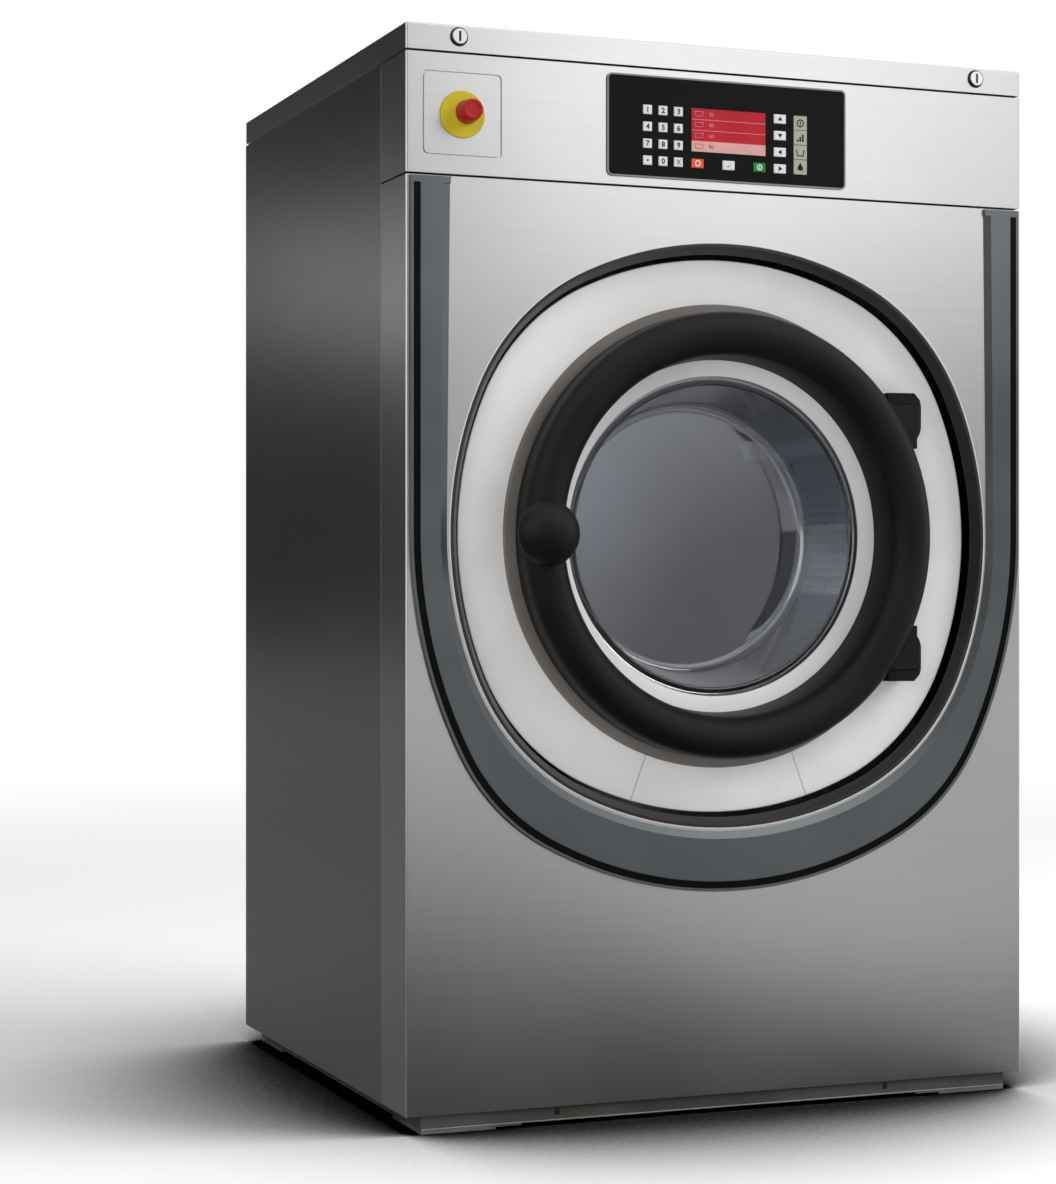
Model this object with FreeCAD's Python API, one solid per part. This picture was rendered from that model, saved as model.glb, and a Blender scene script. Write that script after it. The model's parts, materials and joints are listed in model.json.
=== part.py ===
import FreeCAD, Part
import math
import os

# Front-loading commercial washer with a sprung tub, in millimetres.
# X runs to the right, Y to the back, Z up; the floor under the middle of the machine is the origin.
# Depths are counted from the front face: positive to the back, negative towards the user.

# Cabinet
cabinet_width = 710.0
cabinet_depth = 608.0
panel_bottom = 19.5
front_panel_height = 943.0
control_panel_height = 121.2
lid_height = 26.9
panel_gap = 2.2
sheet = 1.5
wrap_depth = 80.0
seam = 0.8
flange = 14.0
edge_radius = 2.0
tongue_lap = 15.0
vent_width = 70.0
vent_height = 6.0
vent_pitch = 18.0
vent_rows = 7
vent_offset = 150.0
vent_bottom = 120.0

# Base
foot_thickness = 4.0
foot_width = 80.0
foot_depth = 90.0
foot_step = 28.0
foot_pad = 2.2
anchor_hole_radius = 6.5
base_inset = 18.0
base_height = 60.0
base_wall = 3.0
rail_width = 107.0
plinth_recess = 6.0
plinth_flange = 30.0
plinth_hole_width = 5.5
plinth_hole_height = 7.0
plinth_hole_x = 190.0
plinth_hole_drop = 6.4

# Rounded opening in the front panel
door_drop = 359.0
opening_half_z = 305.5
opening_side_radius = 382.0
opening_corner_radius = 235.0
lip_flange = 1.2
lip_flange_thickness = 1.0
lip_wall = 2.0
lip_inward = 7.0
lip_depth = 11.0

# U-shaped moulding on the front panel
moulding_side_margin = 4.0
moulding_arm_width = 42.5
moulding_bottom_width = 62.5
moulding_arm_overlap = 3.5
moulding_side_radius = 500.0
moulding_end_radius = 430.0
moulding_corner_radius = 220.0
moulding_margin = 4.0
moulding_top_drop = 1.0
moulding_thickness = 3.5
moulding_bevel = 7.6
moulding_bevel_depth = 2.7
moulding_bevel_drop = 7.0
strip_inset = 3.1
strip_width = 7.4
strip_depth = 1.0

# Lid locks
lock_inset = 56.4
lock_drop = 11.8
lock_barrel_radius = 7.7
lock_wall = 0.7
lock_flare = 1.4
lock_collar_thickness = 3.0
lock_proud = 3.5
lock_body_length = 18.0
lock_slot_width = 2.5
lock_slot_length = 10.2
lock_slot_depth = 1.5

# Emergency stop
stop_inset = 59.8
stop_rise = 60.4
stop_plate_size = 81.5
stop_plate_gap = 1.7
stop_plate_lap = 5.0
stop_disc_radius = 24.0
stop_disc_thickness = 2.0
stop_neck_radius = 9.0
stop_neck_length = 5.0
stop_stem_radius = 6.0
stop_stem_length = 30.0
stop_button_radius = 12.5
stop_face_radius = 10.5
stop_button_height = 22.0
stop_button_edge = 1.0
stop_travel = 4.0
stop_rest_gap = 1.0
stop_dish_radius = 8.0
stop_dish_depth = 1.0

# Controls
bezel_x = 0.5
bezel_rise = 61.4
bezel_width = 276.0
bezel_height = 106.0
bezel_corner = 6.0
bezel_proud = 1.5
bezel_chamfer = 1.0
bezel_lap = 7.0
bezel_body_depth = 9.0
key_clearance = 0.3
key_proud = 1.2
key_length = 8.0
key_edge = 0.6
digit_key_width = 9.9
function_key_width = 13.8
arrow_key_width = 14.0
key_height = 9.6
key_row_rise = 78.9
key_row_pitch = 17.5
digit_column_x = -92.3
digit_column_pitch = 17.5
function_key_x = -35.4
function_key_pitch = 35.8
arrow_column_x = 60.2
display_x = 0.8
display_rise = 61.4
display_width = 85.5
display_height = 45.0
display_thickness = 1.2

# Running clearance of shafts in their bores
shaft_clearance = 0.05

# Glass bowl and the rings of the door, from the glass outwards
glass_wall = 6.0
bowl_top_radius = 166.0
bowl_taper = 28.0
bowl_depth = 116.0
bowl_fillet = 20.0
trim_overlap = 3.0
trim_wall = 2.5
trim_inner_depth = 27.0
glass_rim_width = 15.0
ring_rim_gap = 1.5
ring_taper = 5.5
ring_tube_radius = 21.5
ring_tube_forward = 9.0
ring_clearance = 5.5
ring_inner_wall = 11.5
ring_skirt_depth = 24.5
ring_skirt_wall = 2.5
ring_outer_wall = 6.0
ring_recess_depth = 15.0

# Hinges and knob of the door
hinge_inset = 12.0
hinge_forward = 6.0
hinge_pin_radius = 3.5
hinge_inner_z = 95.0
hinge_outer_z = 154.5
hinge_knuckle_height = 12.0
hinge_knuckle_slope = 10.0
hinge_waist = 7.0
hinge_waist_height = 11.0
hinge_taper_height = 11.0
hinge_gap = 0.5
hinge_floor = 2.0
hinge_reach = 4.6
hinge_front = 12.0
hinge_corner = 4.0
hinge_arm_length = 44.0
hinge_arm_back_depth = 8.0
hinge_foot_reach = 34.0
knob_offset = 3.5
knob_gap = 0.5
knob_radius = 33.5
knob_shoulder = 5.0
knob_dome = 28.0
spindle_radius = 6.0
latch_gap = 4.0
latch_thickness = 8.0
latch_length = 30.0
latch_width = 9.0
latch_slot_clearance = 4.0

# Tub front plate, seat and gasket
plate_depth = 20.0
plate_thickness = 4.0
plate_margin = 15.0
plate_seam_angle = 20.3
plate_seam_width = 0.8
plate_seam_depth = 1.0
mouth_clearance = 8.0
seat_margin = 10.0
seat_thickness = 3.5
gasket_wall = 6.0
gasket_gap = 2.5
gasket_lip_thickness = 6.0
gasket_clearance = 4.0

# Drum and tub
drum_radius = 267.0
drum_wall = 2.0
drum_front_gap = 8.0
drum_mouth_step = 10.0
drum_lip_radius = 4.0
drum_back_gap = 32.0
lifter_height = 50.0
lifter_width = 76.0
lifter_crest = 22.0
lifter_end_gap = 10.0
lifter_wall = 2.0
tub_gap = 15.5
tub_wall = 2.5
tub_hole_gap = 9.0
saddle_thickness = 8.0
saddle_front_inset = 92.0
saddle_rear_inset = 49.0
saddle_depth = 22.5
saddle_overhang = 25.0
saddle_wing_height = 34.0
saddle_wrap_angle = 57.5
saddle_horn = 21.6

# Suspension struts
strut_inset = 55.0
strut_bore = 14.0
strut_wall = 7.0
strut_exposed = 80.0
strut_floor = 4.0
strut_rod_clearance = 0.3
strut_rod_lift = 25.0
strut_head_radius = 22.0
strut_head_thickness = 6.0

# Shaft, pulleys, belt and motor
drive_clearance = 50.0
shaft_radius = 25.0
spider_hub_radius = 48.0
spider_thickness = 18.0
spider_arm_width = 44.0
housing_radius = 58.0
housing_flange_radius = 110.0
housing_flange_thickness = 12.0
housing_length = 120.0
pulley_gap = 27.0
pulley_width = 26.0
drum_pulley_radius = 150.0
pulley_rim = 10.0
pulley_hub_radius = 42.0
pulley_web_thickness = 8.0
pulley_window_margin = 19.0
pulley_windows = 6
motor_pulley_radius = 37.5
belt_thickness = 4.0
belt_width = 22.0
belt_clearance = 0.3
motor_radius = 80.0
motor_length = 300.0
motor_pulley_gap = 32.0
motor_foot_height = 11.0
motor_foot_half_width = 70.0
motor_foot_thickness = 12.0
motor_shaft_radius = 12.0
motor_shaft_seat = 60.0
motor_fins = 16
motor_fin_height = 5.0
motor_fin_width = 5.0

# Rear connections
rear_reach = 32.0
inlet_inset = 235.0
inlet_pitch = 90.0
inlet_drop = 105.0
inlet_radius = 13.2
inlet_bore = 9.0
inlet_nut_radius = 18.0
inlet_nut_length = 10.0
drain_height = 150.0
drain_x = 0.0
drain_radius = 37.5
drain_wall = 3.5
drain_flange_radius = 46.0
drain_flange_thickness = 5.0
gland_inset = 105.0
gland_drop = 185.0
gland_radius = 14.0
gland_bore = 7.0
gland_nut_radius = 17.0
gland_nut_length = 8.0
gland_length = 20.0

# Cabinet places worked out from the sizes above
half_width = cabinet_width / 2
base_half_width = half_width - base_inset
rail_inner_x = half_width - rail_width
front_top = panel_bottom + front_panel_height
control_bottom = front_top + panel_gap
control_top = control_bottom + control_panel_height
lid_bottom = control_top + panel_gap
lid_top = lid_bottom + lid_height
door_height = front_top - door_drop
moulding_half_x = half_width - moulding_side_margin
moulding_arm_inner_x = moulding_half_x - moulding_arm_width
opening_half_x = moulding_arm_inner_x + moulding_arm_overlap - moulding_margin
moulding_half_z = opening_half_z + moulding_margin + moulding_bottom_width
lock_x = half_width - lock_inset
stop_x = stop_inset - half_width
stop_button_back = stop_disc_thickness + stop_neck_length + stop_travel + stop_rest_gap
stop_button_face = stop_button_back + stop_button_height
inlet_x = half_width - inlet_inset
inlet_height = lid_top - inlet_drop
gland_x = half_width - gland_inset
gland_height = lid_top - gland_drop

# Door places, from the glass outwards
trim_inner_radius = bowl_top_radius + trim_overlap
glass_rim_radius = trim_inner_radius + glass_rim_width
glass_rim_front = trim_inner_depth + trim_wall
glass_rim_back = glass_rim_front + glass_wall
bowl_floor_radius = bowl_top_radius - bowl_taper
ring_inner_back_radius = glass_rim_radius + ring_rim_gap
ring_inner_radius = ring_inner_back_radius + ring_taper
ring_tube_centre = ring_inner_radius + ring_tube_radius
ring_outer_radius = ring_tube_centre + ring_tube_radius
ring_back_depth = plate_depth - seat_thickness - ring_clearance
hinge_x = ring_outer_radius - hinge_inset
hinge_right = hinge_x + hinge_reach
knob_x = -ring_tube_centre - knob_offset
knob_back = ring_tube_forward + ring_tube_radius + knob_gap
knob_reach = knob_back + knob_shoulder + knob_dome
plate_back = plate_depth + plate_thickness
latch_depth = plate_back + latch_gap
mouth_radius = glass_rim_radius + mouth_clearance
seat_radius = ring_outer_radius + seat_margin
gasket_lip_radius = bowl_top_radius + gasket_clearance
gasket_lip_front = glass_rim_back + gasket_gap
gasket_back = gasket_lip_front + gasket_lip_thickness

# Places along the drive, from the rear panel forwards
front_y = knob_reach - (knob_reach + cabinet_depth + rear_reach) / 2
rear_y = front_y + cabinet_depth
pulley_depth = cabinet_depth - drive_clearance - pulley_width
pulley_back = pulley_depth + pulley_width
housing_end_depth = pulley_depth - pulley_gap
tub_back_depth = housing_end_depth - housing_length
drum_back_depth = tub_back_depth - drum_back_gap
drum_front_depth = gasket_back + drum_front_gap
drum_mouth_radius = mouth_radius - drum_mouth_step
motor_rear_depth = pulley_depth - motor_pulley_gap
motor_front_depth = motor_rear_depth - motor_length
tub_radius = drum_radius + tub_gap + tub_wall
tub_back_hole = shaft_radius + tub_hole_gap
saddle_front_depth = plate_back + saddle_front_inset
saddle_rear_depth = tub_back_depth - saddle_rear_inset
saddle_drop = tub_radius + saddle_depth
saddle_bottom = door_height - saddle_drop
strut_x = half_width - strut_inset
strut_cylinder_top = saddle_bottom - strut_head_thickness - strut_exposed
saddle_half_width = strut_x + saddle_overhang
motor_height = saddle_bottom - motor_foot_height - motor_radius
drive_centres = door_height - motor_height

V = FreeCAD.Vector
ALONG_Y = V(0, 1, 0)


def depth(distance):
    return front_y + distance


def box(x0, y0, z0, x1, y1, z1):
    return Part.makeBox(x1 - x0, y1 - y0, z1 - z0, V(x0, y0, z0))


def disc(radius, depth_from, depth_to, x=0.0, z=0.0):
    return Part.makeCylinder(radius, depth_to - depth_from, V(x, depth(depth_from), z), ALONG_Y)


def tube(radius, bore, depth_from, depth_to, x=0.0, z=0.0):
    return disc(radius, depth_from, depth_to, x, z).cut(disc(bore, depth_from, depth_to, x, z))


def post(radius, z0, z1, x, y):
    return Part.makeCylinder(radius, z1 - z0, V(x, y, z0))


def prism_y(points, depth_from, depth_to):
    corners = [V(x, depth(depth_from), z) for x, z in points]
    face = Part.Face(Part.makePolygon(corners + corners[:1]))
    return face.extrude(V(0, depth_to - depth_from, 0))


def prism_z(points, z0, z1):
    corners = [V(x, y, z0) for x, y in points]
    face = Part.Face(Part.makePolygon(corners + corners[:1]))
    return face.extrude(V(0, 0, z1 - z0))


def hex_nut(radius, depth_from, depth_to, x, z):
    turns = [math.pi * side / 3 for side in range(6)]
    corners = [(x + radius * math.cos(turn), z + radius * math.sin(turn)) for turn in turns]
    return prism_y(corners, depth_from, depth_to)


def turned(points, x=0.0, z=door_height):
    # Revolves an outline of (radius, depth) points about an axis along Y.
    corners = [V(x + r, depth(d), z) for r, d in points]
    face = Part.Face(Part.makePolygon(corners + corners[:1]))
    return face.revolve(V(x, 0, z), ALONG_Y, 360)


def mirrored(shape):
    return shape.mirror(V(0, 0, 0), V(1, 0, 0))


def edges_where(shape, test):
    return [edge for edge in shape.Edges if test(edge.BoundBox)]


def rounded_plate(width, height, corner, depth_from, depth_to, x, z):
    y0 = depth(depth_from)
    plate = box(x - width / 2, y0, z - height / 2, x + width / 2, depth(depth_to), z + height / 2)
    corners = edges_where(plate, lambda b: b.XLength < 0.01 and b.ZLength < 0.01)
    return plate.makeFillet(corner, corners)


def corner_arc(half_x, half_z, side_radius, end_radius, corner_radius, grow):
    # The arc that joins a bulged side to a bulged end: its two ends and its middle, about the centre.
    side_centre = V(half_x - side_radius, 0, 0)
    end_centre = V(0, half_z - end_radius, 0)
    to_side = side_radius - corner_radius
    to_end = end_radius - corner_radius
    span = end_centre.sub(side_centre)
    along = (to_side ** 2 - to_end ** 2 + span.Length ** 2) / (2 * span.Length)
    across = math.sqrt(to_side ** 2 - along ** 2)
    unit = V(span).normalize()
    middle = side_centre + unit * along
    options = [middle + V(unit.y, -unit.x, 0) * across, middle - V(unit.y, -unit.x, 0) * across]
    centre = max(options, key=lambda point: point.x + point.y)
    from_side = centre.sub(side_centre).normalize()
    from_end = centre.sub(end_centre).normalize()
    start = side_centre + from_side * (side_radius + grow)
    end = end_centre + from_end * (end_radius + grow)
    bulge = centre + (from_side + from_end).normalize() * (corner_radius + grow)
    return start, bulge, end


def arcs_through(points, y):
    places = [V(point.x, y, door_height + point.y) for point in points]
    return [Part.Arc(*places[i:i + 3]).toShape() for i in range(0, len(places) - 2, 2)]


def opening_outline(grow, depth_at):
    # Rounded square with bulged sides, offset outwards by grow.
    start, bulge, end = corner_arc(opening_half_x, opening_half_z, opening_side_radius,
                                   opening_side_radius, opening_corner_radius, grow)
    points = []
    for sx, sz in ((1, 1), (-1, 1), (-1, -1), (1, -1)):
        corner = [V(sx * p.x, sz * p.y, 0) for p in (start, bulge, end)]
        if sx == sz:
            points += [V(sx * (opening_half_x + grow), 0, 0)] + corner
            points += [V(0, sz * (opening_half_z + grow), 0)]
        else:
            points += corner[::-1]
    points.append(points[0])
    first = V(start.x, -start.y, 0)
    return Part.Wire(arcs_through([first] + points[:-1] + [first], depth(depth_at)))


def opening_slab(grow, depth_from, depth_to):
    return Part.Face(opening_outline(grow, depth_from)).extrude(V(0, depth_to - depth_from, 0))


def opening_funnel(front_grow, back_grow, depth_from, depth_to):
    wires = [opening_outline(front_grow, depth_from), opening_outline(back_grow, depth_to)]
    return Part.makeLoft(wires, True, True)


def u_outline(sizes, grow, top_half_x, top_z, depth_at):
    # A U closed across its top: straight arms that run down into bulged sides and bottom.
    half_x, half_z = sizes[0], sizes[1]
    start, bulge, end = corner_arc(*sizes, grow)
    right = [V(half_x + grow, 0, 0)]
    y = depth(depth_at)
    # A point on the side arc halfway between the arm and the corner.
    side_centre = half_x - sizes[2]
    half_angle = math.atan2(start.y, start.x - side_centre) / 2
    side_radius = sizes[2] + grow
    right.append(V(side_centre + side_radius * math.cos(half_angle), -side_radius * math.sin(half_angle), 0))
    right += [V(p.x, -p.y, 0) for p in (start, bulge, end)]
    left = [V(-p.x, p.y, 0) for p in right[::-1]]
    arcs = arcs_through(right + [V(0, -half_z - grow, 0)] + left, y)
    corners = [V(-half_x - grow, y, door_height), V(-top_half_x, y, top_z)]
    corners += [V(top_half_x, y, top_z), V(half_x + grow, y, door_height)]
    return Part.Wire(arcs + Part.makePolygon(corners).Edges)


def u_slab(sizes, grow, top_half_x, top_z, depth_from, depth_to):
    face = Part.Face(u_outline(sizes, grow, top_half_x, top_z, depth_from))
    return face.extrude(V(0, depth_to - depth_from, 0))


def wrapped_sheet(z0, z1, flange_bottom):
    # A front sheet that turns back along both sides and ends in inward flanges.
    y0, y1 = depth(0), depth(wrap_depth)
    shell = box(-half_width, y0, z0, half_width, y1, z1)
    vertical = edges_where(shell, lambda b: b.XLength < 0.01 and b.YLength < 0.01 and b.YMax < y0 + 0.01)
    shell = shell.makeFillet(edge_radius, vertical)
    inner = half_width - sheet
    shell = shell.cut(box(-inner, y0 + sheet, z0, inner, y1, z1))
    for x in (-inner, inner - flange):
        shell = shell.fuse(box(x, y1 - sheet, flange_bottom, x + flange, y1, z1))
    return shell.removeSplitter()


def build_base():
    z0, z1 = foot_thickness, base_height
    step = panel_bottom + panel_gap
    outer = [(rail_inner_x, z0), (rail_inner_x, z1), (half_width - sheet, z1),
             (half_width - sheet, step), (base_half_width, step), (base_half_width, z0)]
    wall = base_wall
    inner = [(rail_inner_x + wall, z0), (rail_inner_x + wall, z1 - wall),
             (half_width - sheet - wall, z1 - wall), (half_width - sheet - wall, step + wall),
             (base_half_width - wall, step + wall), (base_half_width - wall, z0)]
    start = plinth_recess + wall
    end = cabinet_depth - plinth_recess - wall
    right = prism_y(outer, start, end).cut(prism_y(inner, start, end))
    rear = box(-base_half_width, depth(end), z0, base_half_width, depth(end + wall), z1)
    rear = rear.fuse(box(-rail_inner_x, depth(end - plinth_flange), z1 - wall, rail_inner_x, depth(end), z1))
    rails = Part.makeCompound([mirrored(right), right, rear.removeSplitter()])

    plinth = box(-base_half_width, depth(plinth_recess), z0, base_half_width, depth(start), z1)
    plinth = plinth.fuse(box(-rail_inner_x, depth(start), z1 - wall, rail_inner_x,
                             depth(start + plinth_flange), z1)).removeSplitter()
    hole_z = panel_bottom - plinth_hole_drop
    for x in (-plinth_hole_x, plinth_hole_x):
        plinth = plinth.cut(box(x - plinth_hole_width / 2, depth(0), hole_z - plinth_hole_height / 2,
                                x + plinth_hole_width / 2, depth(start), hole_z + plinth_hole_height / 2))
    return {"base_rails": rails, "front_plinth": plinth}


def build_feet():
    feet = []
    outer_x = base_half_width
    for sx in (-1, 1):
        for near in (plinth_recess, cabinet_depth - plinth_recess - foot_depth):
            y0, y1 = depth(near), depth(near + foot_depth)
            pad_x = sorted((sx * outer_x, sx * (outer_x - foot_width)))
            top_x = sorted((sx * outer_x, sx * (outer_x - foot_width - foot_step)))
            foot = box(pad_x[0], y0, 0, pad_x[1], y1, foot_pad)
            foot = foot.fuse(box(top_x[0], y0, foot_pad, top_x[1], y1, foot_thickness)).removeSplitter()
            hole_x = sx * (outer_x - foot_width / 2)
            feet.append(foot.cut(post(anchor_hole_radius, 0, foot_thickness, hole_x, (y0 + y1) / 2)))
    return {"foot_plates": Part.makeCompound(feet)}


def side_panel():
    # The right-hand panel: folded at the front and back, with a tongue that carries the lid.
    x1 = half_width
    y0, y1 = depth(wrap_depth + seam), rear_y - sheet
    panel = box(x1 - sheet, y0, panel_bottom, x1, y1, control_top)
    for fold in (y0, y1 - sheet):
        panel = panel.fuse(box(x1 - sheet - flange, fold, base_height + seam, x1 - sheet, fold + sheet,
                               control_top))
    panel = panel.fuse(box(x1 - 2 * sheet, y0 + flange, control_top - tongue_lap, x1 - sheet, y1 - flange,
                           lid_top - sheet))
    return panel.removeSplitter()


def build_panels():
    front = wrapped_sheet(panel_bottom, front_top, base_height + seam)
    front = front.cut(opening_slab(-lip_flange, 0, sheet))
    right = side_panel()

    rear = box(-half_width, rear_y - sheet, panel_bottom, half_width, rear_y, control_top)
    for sx in (-1, 1):
        for row in range(vent_rows):
            z = vent_bottom + row * vent_pitch
            x = sx * vent_offset
            rear = rear.cut(box(x - vent_width / 2, rear_y - sheet, z, x + vent_width / 2, rear_y,
                                z + vent_height))
    back = cabinet_depth
    rear = rear.cut(disc(drain_radius, back - sheet, back, drain_x, drain_height))
    rear = rear.cut(disc(gland_radius, back - sheet, back, gland_x, gland_height))
    for x in (inlet_x, inlet_x + inlet_pitch):
        rear = rear.cut(disc(inlet_radius, back - sheet, back, x, inlet_height))
    return {"front_panel": front, "right_side_panel": right, "left_side_panel": mirrored(right),
            "rear_panel": rear}


def build_lid():
    lid = box(-half_width, front_y, lid_bottom, half_width, rear_y, lid_top)
    rim = edges_where(lid, lambda b: b.ZMin > lid_top - 0.01 or b.ZLength > lid_height / 2)
    lid = lid.makeFillet(edge_radius, rim)
    lid = lid.cut(box(sheet - half_width, front_y + sheet, lid_bottom, half_width - sheet, rear_y - sheet,
                      lid_top - sheet))
    z = lid_top - lock_drop
    collars = []
    barrels = {}
    body_radius = lock_barrel_radius + lock_wall
    for name, x in (("left", -lock_x), ("right", lock_x)):
        lid = lid.cut(disc(body_radius, 0, sheet, x, z))
        collar = Part.makeCone(body_radius + lock_flare, body_radius, lock_collar_thickness,
                               V(x, depth(0), z), -ALONG_Y)
        collar = collar.fuse(disc(body_radius, 0, lock_body_length, x, z)).removeSplitter()
        bore = lock_barrel_radius + shaft_clearance
        collars.append(collar.cut(disc(bore, -lock_collar_thickness, lock_body_length, x, z)))
        barrel = disc(lock_barrel_radius, -lock_proud, lock_body_length, x, z)
        rim = edges_where(barrel, lambda b: b.YMax < depth(-lock_proud) + 0.01)
        barrel = barrel.makeChamfer(lock_wall / 2, rim)
        slot = box(x - lock_slot_width / 2, depth(-lock_proud), z - lock_slot_length / 2,
                   x + lock_slot_width / 2, depth(lock_slot_depth - lock_proud), z + lock_slot_length / 2)
        barrels[name + "_lock_barrel"] = barrel.cut(slot)
    return {"top_panel": lid, "lock_housings": Part.makeCompound(collars), **barrels}


def build_opening_lip():
    lip = opening_slab(0, -lip_flange_thickness, 0)
    lip = lip.fuse(opening_funnel(-lip_flange, -lip_flange - lip_inward, 0, lip_depth))
    front_grow = -lip_flange - lip_wall
    hollow = opening_funnel(front_grow, front_grow - lip_inward, 0, lip_depth)
    hollow = hollow.fuse(opening_slab(front_grow, -lip_flange_thickness, 0))
    return {"opening_trim": lip.cut(hollow).removeSplitter()}


def build_moulding():
    outer = (moulding_half_x, moulding_half_z, moulding_side_radius, moulding_end_radius,
             moulding_corner_radius)
    inner = (opening_half_x, opening_half_z, opening_side_radius, opening_side_radius,
             opening_corner_radius)
    top = front_top - moulding_top_drop
    face = -moulding_thickness
    solid = u_slab(outer, 0, moulding_half_x, top, face, 0)
    solid = solid.cut(u_slab(inner, moulding_margin, moulding_arm_inner_x, top, face, 0))
    bevel_top = top - moulding_bevel_drop
    front_edge = u_outline(inner, moulding_margin + moulding_bevel, moulding_arm_inner_x + moulding_bevel,
                           bevel_top, face)
    back_edge = u_outline(inner, moulding_margin, moulding_arm_inner_x, bevel_top,
                          face + moulding_bevel_depth)
    solid = solid.cut(Part.makeLoft([front_edge, back_edge], True, True))
    groove_outer = moulding_half_x - strip_inset
    groove_inner = groove_outer - strip_width
    groove = u_slab(outer, -strip_inset, groove_outer, bevel_top, face, face + strip_depth)
    groove = groove.cut(u_slab(outer, -strip_inset - strip_width, groove_inner, bevel_top, face,
                               face + strip_depth))
    return {"u_moulding": solid.cut(groove)}


def build_emergency_stop():
    x, z = stop_x, control_bottom + stop_rise
    plate = rounded_plate(stop_plate_size, stop_plate_size, stop_plate_lap, 0, sheet, x, z)
    lap = stop_plate_size + 2 * (stop_plate_gap + stop_plate_lap)
    plate = plate.fuse(rounded_plate(lap, lap, stop_plate_lap, sheet, 2 * sheet, x, z)).removeSplitter()
    bore = stop_stem_radius + shaft_clearance
    plate = plate.cut(disc(bore + stop_plate_gap, 0, 2 * sheet, x, z))
    collar = disc(stop_disc_radius, -stop_disc_thickness, 0, x, z)
    neck_front = -stop_disc_thickness - stop_neck_length
    collar = collar.fuse(disc(stop_neck_radius, neck_front, -stop_disc_thickness, x, z)).removeSplitter()
    collar = collar.cut(disc(bore, neck_front, 0, x, z))
    back, front, edge = -stop_button_back, -stop_button_face, stop_button_edge
    button = turned([(0, stop_stem_length + back), (stop_stem_radius, stop_stem_length + back),
                     (stop_stem_radius, back), (stop_button_radius - edge, back),
                     (stop_button_radius, back - edge),
                     (stop_face_radius, front + edge), (stop_face_radius - edge, front),
                     (stop_dish_radius, front), (stop_dish_radius - edge, front + stop_dish_depth),
                     (0, front + stop_dish_depth)], x, z)
    return {"stop_plate": plate, "stop_collar": collar, "stop_button": button}


def key_layout():
    # Name, centre across, row and width of each key.
    layout = []
    digits = ("1", "2", "3", "4", "5", "6", "7", "8", "9", "point", "0", "clear")
    for index, name in enumerate(digits):
        x = digit_column_x + (index % 3) * digit_column_pitch
        layout.append((name, x, index // 3, digit_key_width))
    for index, name in enumerate(("stop", "enter", "start")):
        layout.append((name, function_key_x + index * function_key_pitch, 3, function_key_width))
    for row, name in enumerate(("up", "down", "left", "right")):
        layout.append((name, arrow_column_x, row, arrow_key_width))
    return layout


def build_controls():
    z = control_bottom + bezel_rise
    panel = wrapped_sheet(control_bottom, control_top, control_bottom)
    stop_hole = stop_plate_size + 2 * stop_plate_gap
    panel = panel.cut(rounded_plate(stop_hole, stop_hole, stop_plate_lap, 0, sheet, stop_x,
                                    control_bottom + stop_rise))
    body_width, body_height = bezel_width - 2 * bezel_lap, bezel_height - 2 * bezel_lap
    panel = panel.cut(rounded_plate(body_width, body_height, bezel_corner, 0, sheet, bezel_x, z))

    bezel = rounded_plate(bezel_width, bezel_height, bezel_corner, -bezel_proud, 0, bezel_x, z)
    face_edges = edges_where(bezel, lambda b: b.YMax < depth(-bezel_proud) + 0.01)
    bezel = bezel.makeChamfer(bezel_chamfer, face_edges)
    bezel = bezel.fuse(rounded_plate(body_width, body_height, bezel_corner, 0, bezel_body_depth, bezel_x, z))
    bezel = bezel.removeSplitter()
    keys = {}
    cuts = []
    for name, x, row, width in key_layout():
        row_z = control_bottom + key_row_rise - key_row_pitch * row
        hole_w, hole_h = width / 2 + key_clearance, key_height / 2 + key_clearance
        cuts.append(box(x - hole_w, depth(-bezel_proud), row_z - hole_h, x + hole_w, depth(bezel_body_depth),
                        row_z + hole_h))
        front = -bezel_proud - key_proud
        key = box(x - width / 2, depth(front), row_z - key_height / 2, x + width / 2,
                  depth(front + key_length), row_z + key_height / 2)
        rim = edges_where(key, lambda b: b.YMax < depth(front) + 0.01)
        keys["key_" + name] = key.makeChamfer(key_edge, rim)
    display_z = control_bottom + display_rise
    glass_back = display_thickness - bezel_proud
    window = box(display_x - display_width / 2, depth(-bezel_proud), display_z - display_height / 2,
                 display_x + display_width / 2, depth(glass_back), display_z + display_height / 2)
    for cut in cuts + [window]:
        bezel = bezel.cut(cut)
    return {"control_panel": panel, "control_bezel": bezel, "display_window": window, **keys}


def strut_places():
    middles = [saddle_front_depth + saddle_thickness / 2, saddle_rear_depth + saddle_thickness / 2]
    return [(sx * strut_x, depth(middle)) for sx in (-1, 1) for middle in middles]


def build_suspension():
    cylinders = []
    rods = []
    floor_top = base_height + strut_floor
    for x, y in strut_places():
        cylinder = post(strut_bore + strut_wall, base_height, strut_cylinder_top, x, y)
        cylinders.append(cylinder.cut(post(strut_bore, floor_top, strut_cylinder_top, x, y)))
        rod = post(strut_bore - strut_rod_clearance, floor_top + strut_rod_lift, saddle_bottom, x, y)
        head = post(strut_head_radius, saddle_bottom - strut_head_thickness, saddle_bottom, x, y)
        rods.append(rod.fuse(head).removeSplitter())
    return {"strut_cylinders": Part.makeCompound(cylinders), "strut_rods": Part.makeCompound(rods)}


def latch_slot(depth_from, depth_to):
    half_w = latch_width / 2 + latch_slot_clearance
    half_l = latch_length / 2 + latch_slot_clearance
    return box(knob_x - half_w, depth(depth_from), door_height - half_l, knob_x + half_w, depth(depth_to),
               door_height + half_l)


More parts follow.
